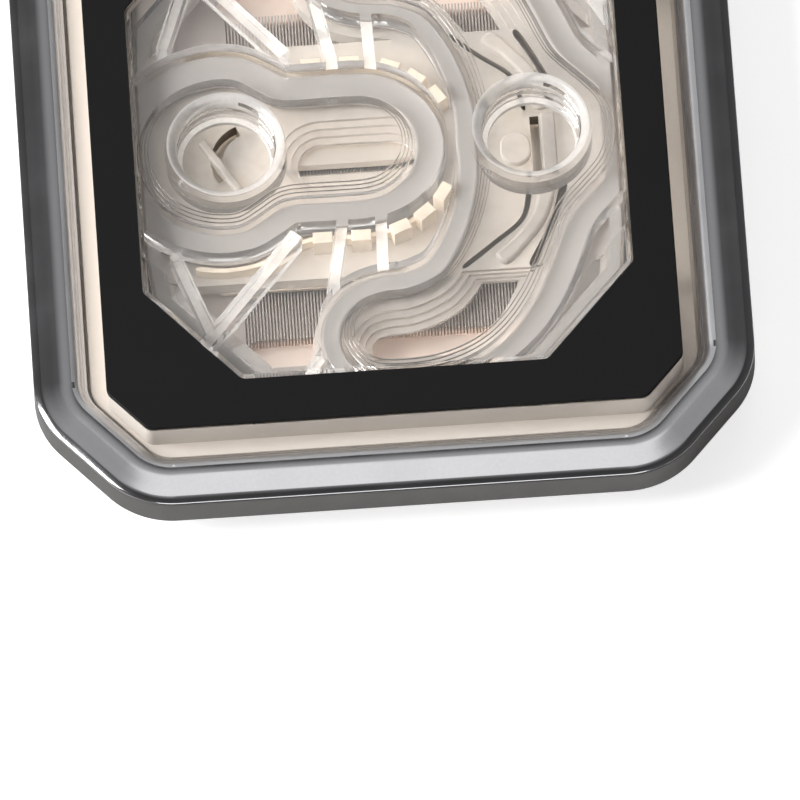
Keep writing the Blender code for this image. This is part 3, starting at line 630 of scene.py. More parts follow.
@dataclass(frozen=True)
class ClearFinish:
    """A see-through plastic. Lamps pass through it, and a worked face adds haze and tool marks."""

    name: str
    tint: str
    roughness: float
    haze: float = 0.0
    haze_colour: str = "#FFFFFF"
    mark_mm: float = 0.6
    bump: float = 0.0
    shadow: str = "#FCFCFB"

    def build(self) -> bpy.types.Material:
        """Makes the material.

        Returns:
            A clear Principled surface, mixed with transparency for shadow rays and with a pale haze.
        """
        made, tree, shader = new_material(self.name)
        shader.inputs["Base Color"].default_value = linear(self.tint)
        shader.inputs["Transmission Weight"].default_value = 1.0
        shader.inputs["Roughness"].default_value = self.roughness
        shader.inputs["IOR"].default_value = 1.49
        surface = shader.outputs["BSDF"]
        place = add_node(tree, "ShaderNodeTexCoord").outputs["Object"]
        marks = add_node(tree, "ShaderNodeTexNoise", {"Scale": 1.0 / (self.mark_mm * MM), "Detail": 2.0},
                         {"Vector": place})
        if self.bump:
            relief = add_node(tree, "ShaderNodeBump", {"Strength": self.bump, "Distance": 0.02 * MM},
                              {"Height": marks.outputs["Fac"]})
            tree.links.new(relief.outputs["Normal"], shader.inputs["Normal"])
        if self.haze:
            veil = add_node(tree, "ShaderNodeBsdfDiffuse", {"Color": linear(self.haze_colour)})
            amount = add_node(tree, "ShaderNodeMapRange",
                              {"From Min": 0.3, "From Max": 0.7, "To Min": self.haze * 0.94,
                               "To Max": self.haze * 1.06}, {"Value": marks.outputs["Fac"]})
            surface = add_node(tree, "ShaderNodeMixShader", {},
                               {0: amount.outputs["Result"], 1: surface, 2: veil.outputs["BSDF"]}).outputs[0]
        path = add_node(tree, "ShaderNodeLightPath")
        passing = add_node(tree, "ShaderNodeBsdfTransparent", {"Color": linear(self.shadow)})
        mixed = add_node(tree, "ShaderNodeMixShader", {},
                         {0: path.outputs["Is Shadow Ray"], 1: surface, 2: passing.outputs["BSDF"]})
        tree.links.new(mixed.outputs[0], tree.nodes["Material Output"].inputs["Surface"])
        return made


class Finishes:
    """Every material of the block, made once."""

    def __init__(self) -> None:
        """Builds the materials."""
        # Polished window: sharp reflections and a clean look inside
        self.clear = ClearFinish("cast_acrylic_polished", "#FBFAF9", 0.0).build()
        # Milled floors and ceilings: a faint veil with soft tool marks
        self.milled = ClearFinish("cast_acrylic_milled", "#F8F7F6", 0.03, 0.04, "#EDEAE8", bump=0.05).build()
        # Steep walls of the ducts: a dark grey-brown tint, painted shade that stands in for the dark contour
        # lines refraction shows at steep acrylic walls
        self.wall_shade = ClearFinish("cast_acrylic_wall_painted_shade", "#77716B", 0.06, bump=0.05,
                                  shadow="#E6E4E0").build()
        # Bored ports and rib feet: a whitish ring and pale bars
        self.bored = ClearFinish("cast_acrylic_bored", "#F8F7F6", 0.08, 0.45, "#F2EEEB", 0.5, 0.02).build()
        # Sawn outer step: a bright satin band round the plate
        self.frosted = ClearFinish("cast_acrylic_sawn_edge", "#F6F2EE", 0.4, 0.8, "#EBE2D8", 0.3, 0.1,
                                   "#8C8783").build()
        # Flow guide: milky and slightly see-through
        self.guide = ClearFinish("natural_acetal_moulded", "#F3F0EC", 0.1, 0.36, "#E6E0DA", 1.6, 0.01,
                                 "#D6D3D0").build()
        # Blocks and lip of the guide: warmer, denser and brighter than its plate
        self.cream = ClearFinish("natural_acetal_rim", "#F5EBDF", 0.12, 0.6, "#F6E9D8", 0.8, 0.02,
                                 "#C4C1BE").build()
        # Narrow slots of the guide: a brown that is painted shade, standing in for the little light a deep
        # groove keeps
        self.groove = PlasticFinish("acetal_groove_painted_shade", "#8C8376", "#756C61", 0.4, 0.3,
                                    0.02).build()
        # Seal under the duct walls: a cool grey-white ribbon
        self.silicone = PlasticFinish("clear_silicone_moulded", "#B5B0AD", "#ABA6A3", 0.25, 0.2, 0.02,
                                      0.3).build()
        # Face plate: even deep black without a mirror
        self.black = PlasticFinish("anodised_black_plate", "#141315", "#101011", 0.55, 0.08, 0.04,
                                   specular=0.2).build()
        # O-ring: dull black rubber
        self.rubber = PlasticFinish("black_nitrile_moulded", "#1E1E1E", "#171717", 0.5, 0.2, 0.08).build()
        # Crown of the frame: mirror bands with soft edges
        self.chrome = MetalFinish("chrome_plated_brass_buffed", Metal.CHROME, 0.13, (0.3, 0.3, 0.3), 0.01,
                                  0.03).build()
        # Inner round of the frame: the same plating, less finely buffed, which evens out its reflections
        self.satin = MetalFinish("chrome_plated_brass_satin", Metal.CHROME, 0.4, (0.3, 0.3, 0.3), 0.02,
                                 0.04).build()
        # Base frame: an even grey sheen with a fine sparkle
        self.blasted = MetalFinish("nickel_plate_blasted", Metal.BLASTED_NICKEL, 0.48, (0.12, 0.12, 0.12),
                                   0.12).build()
        # Cold plate: silvery fins over a recess whose near-white rosy colour is partly the copper's own tone and
        # partly painted light that lifts the shade in the recess
        self.copper = MetalFinish("nickel_flashed_copper_skived", Metal.PLATED_COPPER, 0.6, (0.4, 0.1, 0.4),
                                  0.05, hollow="#FDEEE4", lightened_below_mm=2.6).build()
        # Screws: streaks from grinding
        self.steel = MetalFinish("stainless_steel_ground", Metal.STAINLESS, 0.28, (2.0, 0.08, 0.3),
                                 0.05).build()
        # Jet plate: pale and without a highlight
        self.matt_steel = MetalFinish("stainless_steel_beadblasted", Metal.PALE_STEEL, 0.55,
                                      (0.15, 0.15, 0.15), 0.08).build()


class Cut(IntEnum):
    """How a face of the clear top was made, which is its material slot."""

    POLISHED = 0
    MILLED = 1
    SAWN = 2
    BORED = 3
    # Steep duct walls, which take the dark painted-shade wall material
    WALL = 4


class Part(IntEnum):
    """Which part of the flow guide a face belongs to, which is its material slot."""

    PLATE = 0
    RIM = 1
    # Faces of the slots and grooves, which take the brown painted-shade material
    GROOVE = 2


@dataclass
class ClearTop:
    """The acrylic body with its window, pockets, ducts and two threaded ports."""

    plan: Plan
    finishes: Finishes
    ceiling: float = 10.6
    duct_ceiling: float = 10.2
    wall_bottom: float = 7.6
    bottom: float = 3.3
    flange: tuple[float, float] = (6.2, 6.9)
    body_inset: float = 6.5
    flange_inset: float = 2.6
    step_inset: float = 6.3
    chamfer: float = 0.35
    duct_step: float = 1.1
    duct_round: float = 0.1
    step_height: float = 1.3
    crown_steps: int = 3
    inlet_wall: float = 3.9
    outlet_walls: tuple[float, float] = (2.9, 3.8)
    pocket_slope: float = 4.2
    foot_depth: float = 0.02
    bore: float = 5.45
    ledge: float = 4.9
    boss: float = 6.8
    port_depth: float = 4.6
    thread_root: float = 5.88
    thread_crest: float = 5.05
    thread_depth: float = 3.6
    thread_pitch: float = 1.337
    thread_share: float = 0.42
    thread_turns: float = 2.2
    ribs: tuple[tuple[Point, Point, float], ...] = (
        ((-9.8, -11.4), (-21.5, -25.4), 1.5),
        ((-23.4, -13.0), (-19.9, -23.0), 1.3),
        ((-4.4, -9.0), (-6.2, -18.6), 1.3),
        ((-0.3, -9.0), (-0.5, -17.0), 1.3),
        ((-5.8, -24.0), (-10.8, -31.0), 1.3),
    )

    def outer_body(self) -> bpy.types.Object:
        """The stepped outside, up to the bevelled window.

        Returns:
            The closed body with its material slots.
        """
        plan = self.plan
        low, high = self.flange
        insets = self.body_inset, self.flange_inset, self.step_inset
        body, flange, step = (plan.outer.inset(distance) for distance in insets)
        window = plan.window.inset(plan.seam)
        shoulder = plan.face - plan.plate - plan.seam
        stack = [
            (body.inset(0.3), self.bottom), (body, self.bottom + 0.3), (body, low), (flange, low),
            (flange, high), (step, high), (step, plan.step_top - 0.25), (step.inset(0.07), plan.step_top - 0.07),
            (step.inset(0.25), plan.step_top), (plan.mask, plan.step_top), (plan.mask, shoulder),
            (window, shoulder), (window, plan.face - self.chamfer), (window.inset(self.chamfer), plan.face),
        ]
        top = paint(bridged("clear_top", [(shape.points(), z) for shape, z in stack]), *self.slots())
        limit = (shoulder - 0.01) * MM
        set_face_slots(top, lambda face: Cut.SAWN if face.center.z < limit else Cut.POLISHED)
        return top

    def cutter(self, piece: bpy.types.Object, flat: Cut = Cut.MILLED,
               steep: Cut = Cut.WALL) -> bpy.types.Object:
        """Gives a cutter the slots of the body, and its own surface to what it cuts.

        Args:
            piece: The cutter.
            flat: What its flat faces leave behind.
            steep: What its steep faces leave behind.

        Returns:
            The cutter.
        """
        set_face_slots(paint(piece, *self.slots()), lambda face: flat if abs(face.normal.z) > 0.5 else steep)
        return piece

    def slots(self) -> tuple[bpy.types.Material, ...]:
        """The materials of the top, in the order of Cut."""
        finishes = self.finishes
        return finishes.clear, finishes.milled, finishes.frosted, finishes.bored, finishes.wall_shade

    def walls(self, more: float = 0.0) -> list[Loop]:
        """The outer outlines of the walls round both ducts.

        Args:
            more: How far they are moved outwards, in millimetres.

        Returns:
            The outline of the inlet's wall and that of the outlet's.
        """
        near, far = self.outlet_walls
        return [duct(self.plan.inlet(), self.inlet_wall + more),
                duct(self.plan.outlet(), near + more, far + more)]

    def pockets(self) -> bpy.types.Object:
        """The hollows round the ducts, leaning in towards the foot at the corners."""
        plan = self.plan
        chamber = plan.chamber
        foot = Octagon(chamber.half_x, chamber.half_y, chamber.reach - self.pocket_slope, chamber.radius)
        stack = [(foot, UNDER), (foot, self.wall_bottom), (chamber, self.ceiling)]
        hollow = bridged("pockets", [(shape.points(INNER_STEPS), z) for shape, z in stack])
        walls = self.walls()
        for rib in self.ribs:
            walls += both_sides(bar(*rib))
        for outline in walls:
            combine(hollow, through("wall", outline, 1.0), "DIFFERENCE")
        self.soften(hollow)
        return self.cutter(hollow, steep=Cut.MILLED)

    def soften(self, hollow: bpy.types.Object, radius: float = 0.14) -> None:
        """Rounds the upper rim of the pockets with a Bevel in edit mode, so that it catches the light.

        Args:
            hollow: The pocket cutter.
            radius: Width of the round in millimetres.
        """
        pick(hollow)
        bpy.ops.object.mode_set(mode="EDIT")
        bpy.ops.mesh.select_mode(type="EDGE")
        bpy.ops.mesh.select_all(action="DESELECT")
        bpy.ops.object.mode_set(mode="OBJECT")
        mesh = hollow.data
        level = (self.ceiling - 0.01) * MM
        tops = Counter(key for face in mesh.polygons if face.normal.z > 0.99 for key in face.edge_keys)
        for edge in mesh.edges:
            high = all(mesh.vertices[v].co.z > level for v in edge.vertices)
            edge.select = high and tops[edge.key] == 1
        bpy.ops.object.mode_set(mode="EDIT")
        bpy.ops.mesh.bevel(offset=radius * MM, segments=2, clamp_overlap=True)
        bpy.ops.object.mode_set(mode="OBJECT")

    def thread(self, x: float) -> bpy.types.Object:
        """The helical groove of one port, turned by a Screw modifier.

        Args:
            x: Place of the port's axis in millimetres.

        Returns:
            The closed cutter.
        """
        half = self.thread_pitch * self.thread_share
        mesh = bpy.data.meshes.new("thread")
        start, crest, root = self.plan.face - self.thread_depth, self.thread_crest * MM, self.thread_root * MM
        corners = [(crest, 0, (start - half) * MM), (root, 0, start * MM), (crest, 0, (start + half) * MM)]
        mesh.from_pydata(corners, [(0, 1), (1, 2), (2, 0)], [])
        groove = bpy.data.objects.new("thread", mesh)
        bpy.context.scene.collection.objects.link(groove)
        pick(groove)
        screw = groove.modifiers.new("thread", "SCREW")
        screw.axis = "Z"
        screw.angle = 2 * math.pi * self.thread_turns
        screw.screw_offset = self.thread_pitch * self.thread_turns * MM
        screw.steps = screw.render_steps = int(64 * self.thread_turns)
        bpy.ops.object.modifier_apply(modifier=screw.name)
        bpy.ops.object.mode_set(mode="EDIT")
        bpy.ops.mesh.select_all(action="DESELECT")
        bpy.ops.mesh.select_non_manifold()
        bpy.ops.mesh.fill_holes(sides=3)
        bpy.ops.mesh.select_all(action="SELECT")
        bpy.ops.mesh.normals_make_consistent(inside=False)
        bpy.ops.object.mode_set(mode="OBJECT")
        groove.location = (x * MM, 0, 0)
        bpy.ops.object.transform_apply(location=True, rotation=True, scale=True)
        return self.cutter(groove)

    def turned(self, name: str, x: float, profile: Sequence[Point], *cuts: Cut) -> bpy.types.Object:
        """A turned form on a port's axis.

        Args:
            name: Name of the object.
            x: Place of the axis in millimetres.
            profile: Radius and height of each section, in millimetres.
            *cuts: What its flat and its steep faces leave behind.

        Returns:
            The closed form, as a cutter.
        """
        return self.cutter(bridged(name, [(circle(x, 0, radius), z) for radius, z in profile]), *cuts)

    def whiten_rib_feet(self, top: bpy.types.Object) -> None:
        """Takes a thin skim off the foot of each rib, between the walls, which leaves it whitish.

        Args:
            top: The clear top, after its pockets are cut.
        """
        inside = self.plan.chamber.inset(self.foot_depth)
        for start, end, width in self.ribs:
            for outline in both_sides(bar(start, end, width - 2 * self.foot_depth)):
                foot = solid("rib_foot", [outline], self.wall_bottom - 1.0, self.wall_bottom + self.foot_depth)
                for wall in self.walls(self.foot_depth):
                    combine(foot, through("wall", wall, 1.0), "DIFFERENCE")
                combine(foot, through("bounds", inside.points(INNER_STEPS), 1.0), "INTERSECT")
                combine(top, self.cutter(foot, Cut.BORED, Cut.BORED), "DIFFERENCE")

    def build(self) -> bpy.types.Object:
        """Makes the clear top.

        Returns:
            The finished piece.
        """
        plan = self.plan
        top = self.outer_body()
        combine(top, self.pockets(), "DIFFERENCE")
        lower = solid("lower_chamber", [plan.chamber.points(INNER_STEPS)], UNDER, self.wall_bottom)
        combine(top, self.cutter(lower), "DIFFERENCE")
        self.whiten_rib_feet(top)
        for name, loop in (("inlet", plan.inlet()), ("outlet", plan.outlet())):
            lower = solid(name, [duct(loop)], UNDER, self.duct_ceiling - self.step_height, self.duct_round)
            combine(lower, through("bounds", plan.chamber.points(INNER_STEPS), 1.0), "INTERSECT")
            combine(top, self.cutter(lower), "DIFFERENCE")
            for step in range(1, self.crown_steps + 1):
                share = step / self.crown_steps
                height = self.duct_ceiling - self.step_height * (1 - share)
                outline = duct(loop, -self.duct_step * share)
                crown = solid(name + "_crown", [outline], UNDER, height, self.duct_round)
                combine(top, self.cutter(crown), "DIFFERENCE")
        for x in (-plan.port_x, plan.port_x):
            boss = [(self.boss, plan.face - self.port_depth), (self.boss, self.ceiling + 0.5)]
            combine(top, self.turned("port_boss", x, boss), "UNION")
            bore = [(self.ledge, UNDER), (self.ledge, plan.face - 4.0), (self.bore, plan.face - 3.8),
                    (self.bore, plan.face - 1.0), (self.bore + 0.25, plan.face - 0.6),
                    (self.bore + 0.7, plan.face - 0.2), (self.bore + 1.1, plan.face + 0.001),
                    (self.bore + 1.1, plan.face + 2)]
            combine(top, self.turned("port_bore", x, bore, Cut.BORED, Cut.BORED), "DIFFERENCE")
            combine(top, self.thread(x), "DIFFERENCE")
        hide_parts("acrylic_top")
        return finish_mesh(top)


@dataclass
class DuctInsert:
    """The castellated flow guide under the ducts and the soft gasket on it."""

    plan: Plan
    finishes: Finishes
    guide: tuple[float, float] = (4.1, 6.0)
    gasket: tuple[float, float] = (6.3, 7.3)
    rim: float = 1.4
    half_band: float = 14.8
    mouth_step: float = 0.75
    mouth_steps: int = 4
    jet_mouth: tuple[float, float, float] = (-2.6, 13.0, 5.6)
    tooth: tuple[float, float, float] = (2.2, 1.4, 2.6)
    tooth_angles: tuple[float, ...] = (-68, -51, -34)
    tooth_straight: tuple[float, ...] = (-6.9, -2.6)
    grooves: tuple[tuple[tuple[Point, ...], float], ...] = (
        (((16.4, -5.5), (15.4, -9.0), (12.1, -11.8), (8.8, -14.4)), 0.55),
        (((20.3, -4.9), (19.3, -8.2), (17.9, -11.4), (16.2, -14.6)), 0.75),
    )
    ridge: tuple[Point, ...] = ((18.4, -5.4), (17.3, -9.0), (15.0, -12.0), (12.8, -14.0))
    lip: tuple[Point, ...] = ((-20.8, -13.4), (-17.7, -13.8), (-14.1, -13.3), (-11.1, -11.8), (-8.6, -10.7),
                              (-5.5, -10.57), (-2.0, -10.54), (0.6, -10.13), (3.05, -9.09), (5.0, -7.6))
    inlet_wall: float = 3.9
    outlet_walls: tuple[float, float] = (2.9, 3.8)

    def teeth(self) -> list[tuple[float, float, float]]:
        """The middle and the turn of each tooth along the inlet wall, front and back."""
        centre, reach = -2.3, 6.1 + self.inlet_wall + self.plan.gap + self.tooth[1] / 2
        front = [(x, -reach, 0.0) for x in self.tooth_straight]
        for degrees in self.tooth_angles:
            angle = math.radians(degrees)
            front.append((centre + reach * math.cos(angle), reach * math.sin(angle), angle + math.pi / 2))
        return front + [(x, -y, -angle) for x, y, angle in front]

    def flow_guide(self) -> bpy.types.Object:
        """The acetal plate with stepped mouths and blocks.

        Returns:
            The finished piece.
        """
        plan = self.plan
        low, high = self.guide
        edge = plan.chamber.inset(plan.gap)
        outlet = plan.outlet()
        rim = edge.inset(self.rim)
        piece = solid("duct_floor", [edge.points(INNER_STEPS), rim.points(INNER_STEPS)], low, high)
        near, far = self.outlet_walls
        floor = solid("floor", [duct(outlet, near + 0.6, far + 0.6)], low, high)
        combine(floor, solid("band", [strip(self.half_band)], low, high), "UNION")
        combine(floor, through("bounds", edge.points(INNER_STEPS)), "INTERSECT")
        combine(piece, floor, "UNION")
        jet_x, jet_length, jet_width = self.jet_mouth
        for step in range(self.mouth_steps):
            last = step == self.mouth_steps - 1
            depth = UNDER if last else high - (high - low) * (step + 1) / self.mouth_steps
            grow = 2 * (self.mouth_steps - 1 - step) * self.mouth_step
            jet = obround(jet_x, 0, jet_length + grow, jet_width + grow)
            combine(piece, solid("jet_mouth", [jet], depth, OVER), "DIFFERENCE")
            mouth = solid("outlet_mouth", [duct(outlet, -self.mouth_step * (step + 1))], depth, OVER)
            limit = self.half_band + 0.3 + 0.25 * step
            combine(mouth, through("limit", strip(limit), 1.0), "DIFFERENCE")
            combine(piece, mouth, "DIFFERENCE")
        self.give(piece, Part.PLATE)
        self.port_floors(piece, high)
        # The grooves' faces take the brown painted-shade material
        for path, wide in self.grooves:
            for outline in both_sides(ribbon(path, wide)):
                groove = self.give(solid("floor_groove", [outline], low + 0.5, OVER), Part.GROOVE)
                combine(piece, groove, "DIFFERENCE")
        for outline in both_sides(ribbon(self.lip, 0.5)):
            combine(piece, self.give(solid("lip", [outline], high - 0.3, high + 1.5), Part.RIM), "UNION")
        for outline in both_sides(ribbon(self.ridge, 1.7)):
            ridge = self.give(solid("ridge", [outline], high - 0.6, high + 0.8, 0.5), Part.PLATE)
            combine(piece, ridge, "UNION")
        width, depth, height = self.tooth
        for x, y, angle in self.teeth():
            ux, uy = math.cos(angle) * width / 2, math.sin(angle) * width / 2
            outline = bar((x - ux, y - uy), (x + ux, y + uy), depth)
            block = solid("tooth", [outline], high - 0.6, high + height, 0.12)
            combine(piece, self.give(block, Part.RIM), "UNION")
        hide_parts("flow_guide")
        return finish_mesh(piece)

    def give(self, piece: bpy.types.Object, part: Part) -> bpy.types.Object:
        """Gives a form the three materials of the guide, and one of them to its faces.

        Args:
            piece: The form.
            part: Which part of the guide it belongs to.

        Returns:
            The form.
        """
        finishes = self.finishes
        paint(piece, finishes.guide, finishes.cream, finishes.groove)
        set_face_slots(piece, lambda face: part)
        return piece

    def port_floors(self, piece: bpy.types.Object, high: float) -> None:
        """Cuts the slots under the ports and adds the rib, the bar and the boss beside them.

        Args:
            piece: The flow guide.
            high: Its upper face in millimetres.
        """
        left, right = -self.plan.port_x, self.plan.port_x
        centre, middle, near, far = left + 3.1, 0.87, 3.55, 4.85
        bend = arc(centre, middle, far, 112, 212, 32) + arc(centre, middle, near, 212, 112, 32)
        gap = bar((right + 0.5, -4.2), (right + 0.5, 4.2), 1.0)
        # The slots' faces take the brown painted-shade material
        for outline in (bend, gap):
            combine(piece, self.give(through("floor_slot", outline), Part.GROOVE), "DIFFERENCE")
        rib = bar((left - 2.6, 3.35), (left + 1.3, -3.05), 0.9)
        wall = bar((right + 2.0, -4.2), (right + 2.0, 4.2), 1.6)
        boss = [(right - 1.8 + y, x) for x, y in reversed(obround(0, 0, 4.0, 3.4, 20))]
        for outline in (rib, wall, boss):
            form = self.give(solid("floor_rib", [outline], high - 0.9, high + 0.9, 0.25), Part.PLATE)
            combine(piece, form, "UNION")

    def seal(self) -> bpy.types.Object:
        """The silicone gasket under the duct walls.

        Returns:
            The finished piece.
        """
        plan = self.plan
        low, high = self.gasket
        edge = plan.chamber.inset(plan.gap)
        rim = edge.inset(self.rim)
        piece = solid("duct_seal", [edge.points(INNER_STEPS), rim.points(INNER_STEPS)], low, high)
        near, far = self.outlet_walls
        webs = [
            [duct(plan.inlet(), self.inlet_wall - plan.gap), duct(plan.inlet(), plan.gap)],
            [duct(plan.outlet(), near - plan.gap, far - plan.gap), duct(plan.outlet(), plan.gap)],
        ]
        for loops in webs:
            web = solid("web", loops, low, high, 0.42)
            combine(web, through("bounds", edge.points(INNER_STEPS)), "INTERSECT")
            combine(piece, web, "UNION")
        paint(piece, self.finishes.silicone)
        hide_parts("duct_gasket")
        return finish_mesh(piece)


@dataclass
class ClampRings:
    """The polished frame and the matt base frame under it."""

    plan: Plan
    finishes: Finishes
    rim: float = 8.95
    crown: float = 9.65
    lip_bottom: float = 7.2
    base: tuple[float, float] = (4.6, 8.6)
    steps: int = 16

    def polished(self) -> bpy.types.Object:
        """The crowned ring.

        Returns:
            The finished piece.
        """
        rise = self.crown - self.rim
        shape = [(0.0, -0.1), (0.05, 0.04), (0.18, 0.15), (0.45, 0.3), (0.75, 0.45), (0.9, 0.49), (1.2, 0.55),
                 (2.0, 0.73), (2.8, 0.91), (3.2, 0.98), (3.55, 1.0), (3.9, 1.0), (4.25, 0.96), (4.55, 0.9),
                 (4.8, 0.8), (5.0, 0.66), (5.14, 0.48), (5.24, 0.25), (5.31, -0.05), (5.37, -0.35),
                 (5.48, -0.52), (5.65, -0.6), (5.85, -0.75), (5.97, -1.0)]
        face = [(d, self.rim + share * rise) for d, share in shape]
        back = [(6.0, self.plan.step_top + 0.1), (6.0, self.lip_bottom), (2.6, self.lip_bottom),
                (2.6, self.base[1] + 0.2), (0.15, self.base[1] + 0.2), (0.03, self.base[1] + 0.24)]
        sections = [(self.plan.outer.inset(d).points(self.steps), z) for d, z in face + back]
        ring = bridged("crowned_frame", sections, ring=True)
        paint(ring, self.finishes.chrome, self.finishes.satin)
        level = (self.rim - 0.4) * MM
        set_face_slots(ring, lambda face: int(face.center.z > level
                                              and face.normal.xy.dot(face.center.xy.normalized()) < -0.12))
        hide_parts("polished_frame")
        return finish_mesh(ring, 40)

    def matt(self) -> bpy.types.Object:
        """The base ring with its ledge.

        Returns:
            The finished piece.
        """
        low, high = self.base
        profile = [(0.4, low), (0.12, low + 0.12), (0.0, low + 0.4), (0.0, high - 0.25), (0.06, high - 0.08),
                   (0.25, high), (2.3, high), (2.3, 5.9), (6.2, 5.9), (6.2, low)]
        plan = self.plan
        sections = [(plan.outer.inset(d).points(self.steps), z) for d, z in profile]
        ring = paint(bridged("blasted_frame", sections, ring=True), self.finishes.blasted)
        (ax, ay), (bx, by) = plan.outer.inset(4.3).corners()[:2]
        for sx in (-1, 1):
            for sy in (-1, 1):
                x, y = sx * (ax + bx) / 2, sy * (ay + by) / 2
                boss = bridged("boss", [(circle(x, y, 1.8, 40), low + 0.4), (circle(x, y, 1.8, 40), 6.9)])
                combine(ring, boss, "UNION")
                bore = ((1.45, low - 1.0), (1.45, low), (1.2, low + 0.25), (1.2, 6.5))
                combine(ring, bridged("hole", [(circle(x, y, r, 40), z) for r, z in bore]), "DIFFERENCE")
        side, end = plan.outer.half_x - 3.75, plan.outer.half_y - 3.75
        places = [(s * side, y) for s in (-1, 1) for y in (-14.0, 14.0)] + [(0.0, s * end) for s in (-1, 1)]
        for x, y in places:
            seat = ((2.0, low - 1), (2.0, low), (1.2, low + 0.8), (1.2, OVER))
            combine(ring, bridged("seat", [(circle(x, y, r, 40), z) for r, z in seat]), "DIFFERENCE")
        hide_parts("base_frame")
        return finish_mesh(ring, 40)


@dataclass
class FacePlate:
    """The black plate let into the top round the window."""

    plan: Plan
    finishes: Finishes

    def build(self) -> bpy.types.Object:
        """Makes the plate.

        Returns:
            The finished piece.
        """
        plan = self.plan
        low = plan.face - plan.plate
        sections = [(plan.mask.points(), low), (plan.mask.points(), plan.face - 0.12),
                    (plan.mask.inset(0.04).points(), plan.face - 0.03),
                    (plan.mask.inset(0.12).points(), plan.face),
                    (plan.window.points(), plan.face), (plan.window.points(), low)]
        plate = bridged("black_plate", sections, ring=True)
        paint(plate, self.finishes.black)
        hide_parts("face_mask")
        return finish_mesh(plate)


@dataclass
class JetPlate:
    """The thin plate over the fins, with a slot whose sides lean in towards its foot."""

    finishes: Finishes
    low: float = 3.3
    high: float = 3.8
    size: Point = (38.0, 29.6)
    slot: Point = (24.0, 1.4)
    foot: float = 0.6

    def build(self) -> bpy.types.Object:
        """Makes the plate.

        Returns:
            The finished piece.
        """
        x, y = self.size[0] / 2, self.size[1] / 2
        outline = rounded([(-x, -y), (x, -y), (x, y), (-x, y)], 1.0, 8)
        plate = solid("jet_plate_ground", [outline], self.low, self.high, 0.04)
        length, width = self.slot
        narrow = obround(0, 0, length - width + self.foot, self.foot)
        wide = obround(0, 0, length, width)
        cutter = bridged("jet_slot", [(narrow, self.low - 1), (narrow, self.low + 0.05),
                                      (wide, self.high + 0.001), (wide, self.high + 1)])
        combine(plate, cutter, "DIFFERENCE")
        paint(plate, self.finishes.matt_steel)
        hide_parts("jet_plate")
        return finish_mesh(plate)


@dataclass
class KeptNodes:
    """The CAD nodes that stay, each with a better material."""

    finishes: Finishes

    def dress(self) -> None:
        """Puts the materials on the nodes."""
        finish = {"cold_plate": self.finishes.copper, "main_o_ring": self.finishes.rubber}
        for name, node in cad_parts.items():
            material = self.finishes.steel if "screw" in name else finish.get(name)
            if material:
                paint(node, material)
                LOG.info("dressed %s", name)


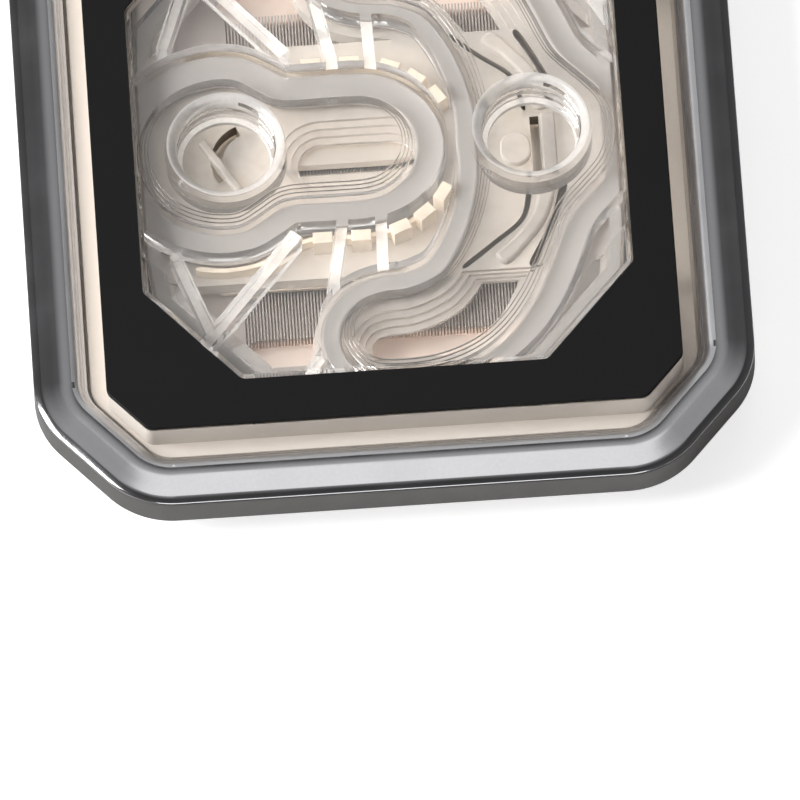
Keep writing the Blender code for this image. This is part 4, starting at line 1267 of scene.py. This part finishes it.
@dataclass
class Studio:
    """The floor, the soft boxes, the surround and the camera."""

    plan: Plan
    target: Vector = field(default_factory=lambda: Vector((0.0, 0.0, 0.012)))
    pixels_per_mm: float = 9.0
    lens: float = 1161.0
    sensor: float = 36.0
    picture: float = 800.0
    centre_px: Point = (378.0, 134.0)
    elevation: float = math.radians(62.0)
    yaw: float = math.radians(1.2)
    roll: float = math.radians(2.7)
    lean: float = math.radians(13.0)

    def camera(self) -> None:
        """Places the camera where the photographer stood."""
        right_h = Vector((math.cos(self.yaw), -math.sin(self.yaw), 0.0))
        ahead = Vector((math.sin(self.yaw), math.cos(self.yaw), 0.0))
        forward = ahead * math.cos(self.elevation) - Vector((0, 0, math.sin(self.elevation)))
        upward = ahead * math.sin(self.elevation) + Vector((0, 0, math.cos(self.elevation)))
        right = right_h * math.cos(self.roll) - upward * math.sin(self.roll)
        up = right_h * math.sin(self.roll) + upward * math.cos(self.roll)
        data = bpy.data.cameras.new("camera")
        data.lens, data.sensor_width = self.lens, self.sensor
        data.clip_start, data.clip_end = 0.1, 20.0
        distance = self.lens / self.sensor * self.picture / self.pixels_per_mm * MM
        half = self.picture / 2
        axis = (self.target + right * ((half - self.centre_px[0]) / self.pixels_per_mm * MM)
                - up * ((half - self.centre_px[1]) / self.pixels_per_mm * MM))
        camera = bpy.data.objects.new("camera", data)
        bpy.context.scene.collection.objects.link(camera)
        turn = Matrix((right, up, -forward)).transposed().to_4x4()
        camera.matrix_world = Matrix.Translation(axis - forward * distance) @ turn
        bpy.context.scene.camera = camera

    def floor(self) -> None:
        """A pale floor that stays white to the eye and keeps a faint shadow."""
        deselect()
        bpy.ops.mesh.primitive_plane_add(size=6.0, location=(0, 0, 0))
        floor = bpy.context.object
        floor.name = "studio_floor"
        made = bpy.data.materials.new("white_paper_sweep")
        made.use_nodes = True
        tree = made.node_tree
        tree.nodes.remove(tree.nodes["Principled BSDF"])
        paper = add_node(tree, "ShaderNodeBsdfDiffuse", {"Color": linear("#D8D8D8")}).outputs[0]
        path = add_node(tree, "ShaderNodeLightPath").outputs
        glow = add_node(tree, "ShaderNodeEmission", {"Color": linear("#FFFFFF"), "Strength": 0.72}).outputs[0]
        lit = add_node(tree, "ShaderNodeAddShader", {}, {0: paper, 1: glow}).outputs[0]
        seen = add_node(tree, "ShaderNodeMath", {}, {0: path["Is Camera Ray"], 1: path["Is Transmission Ray"]},
                        operation="MAXIMUM").outputs[0]
        mixed = add_node(tree, "ShaderNodeMixShader", {}, {0: seen, 1: paper, 2: lit}).outputs[0]
        tree.links.new(mixed, tree.nodes["Material Output"].inputs["Surface"])
        floor.data.materials.append(made)

    def surround(self) -> None:
        """A grey studio, brighter overhead and white to the camera."""
        world = bpy.data.worlds.new("studio")
        bpy.context.scene.world = world
        world.use_nodes = True
        tree = world.node_tree
        shade = tree.nodes["Background"]
        place = add_node(tree, "ShaderNodeTexCoord").outputs["Generated"]
        leaned = add_node(tree, "ShaderNodeMapping", {"Rotation": (self.lean, 0.0, 0.0)},
                          {"Vector": place}).outputs[0]
        height = add_node(tree, "ShaderNodeSeparateXYZ", {}, {0: leaned}).outputs["Z"]
        ramp = add_node(tree, "ShaderNodeValToRGB", {}, {"Fac": height})
        ramp.color_ramp.elements[0].position = 0.0
        ramp.color_ramp.elements[0].color = (0.12, 0.12, 0.122, 1)
        ramp.color_ramp.elements[1].position = 1.0
        ramp.color_ramp.elements[1].color = (0.62, 0.62, 0.62, 1)
        for position, level in ((0.5, 0.11), (0.82, 0.07), (0.905, 0.05), (0.93, 0.12), (0.965, 0.42)):
            ramp.color_ramp.elements.new(position).color = (level, level, level * 1.01, 1)
        tree.links.new(ramp.outputs["Color"], shade.inputs["Color"])
        shade.inputs["Strength"].default_value = 1.0
        white = add_node(tree, "ShaderNodeBackground", {"Color": (1, 1, 1, 1), "Strength": 1.0})
        path = add_node(tree, "ShaderNodeLightPath").outputs
        mixed = add_node(tree, "ShaderNodeMixShader", {}, {0: path["Is Camera Ray"], 1: shade.outputs[0],
                                                            2: white.outputs[0]}).outputs[0]
        tree.links.new(mixed, tree.nodes["World Output"].inputs["Surface"])

    def lamp(self, name: str, place: tuple[float, float, float], size: tuple[float, float],
             power: float) -> None:
        """Adds a soft box that faces the block.

        Args:
            name: Name of the lamp.
            place: Where it stands, in metres.
            size: Width and height in metres.
            power: Power in watts.
        """
        data = bpy.data.lights.new(name, "AREA")
        data.shape = "RECTANGLE"
        data.size, data.size_y = size
        data.energy = power
        lamp = bpy.data.objects.new(name, data)
        bpy.context.scene.collection.objects.link(lamp)
        lamp.location = place
        lamp.rotation_euler = Vector(place).to_track_quat("Z", "Y").to_euler()

    def build(self) -> None:
        """Sets up the whole studio."""
        self.camera()
        self.floor()
        self.surround()
        self.lamp("top_box", (0.0, 0.17, 1.1), (0.4, 0.36), 0.3)
        self.lamp("left_box", (-1.0, -0.05, 0.78), (0.7, 0.7), 24.0)
        self.lamp("back_box", (0.0, 0.88, 0.68), (1.0, 0.5), 2.0)
        self.lamp("front_box", (0.0, -1.1, 0.34), (0.8, 0.5), 2.3)
        bpy.context.scene.view_settings.view_transform = "Standard"


def main() -> None:
    """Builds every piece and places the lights."""
    logging.basicConfig(level=logging.INFO, format="%(message)s")
    plan = Plan()
    finishes = Finishes()
    insert = DuctInsert(plan, finishes)
    rings = ClampRings(plan, finishes)
    for maker in (ClearTop(plan, finishes).build, insert.flow_guide, insert.seal, rings.polished, rings.matt,
                  FacePlate(plan, finishes).build, JetPlate(finishes).build):
        piece = maker()
        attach(piece, BODY)
        LOG.info("%s: %d faces", piece.name, len(piece.data.polygons))
    KeptNodes(finishes).dress()
    Studio(plan).build()


if __name__ == "__main__":
    main()
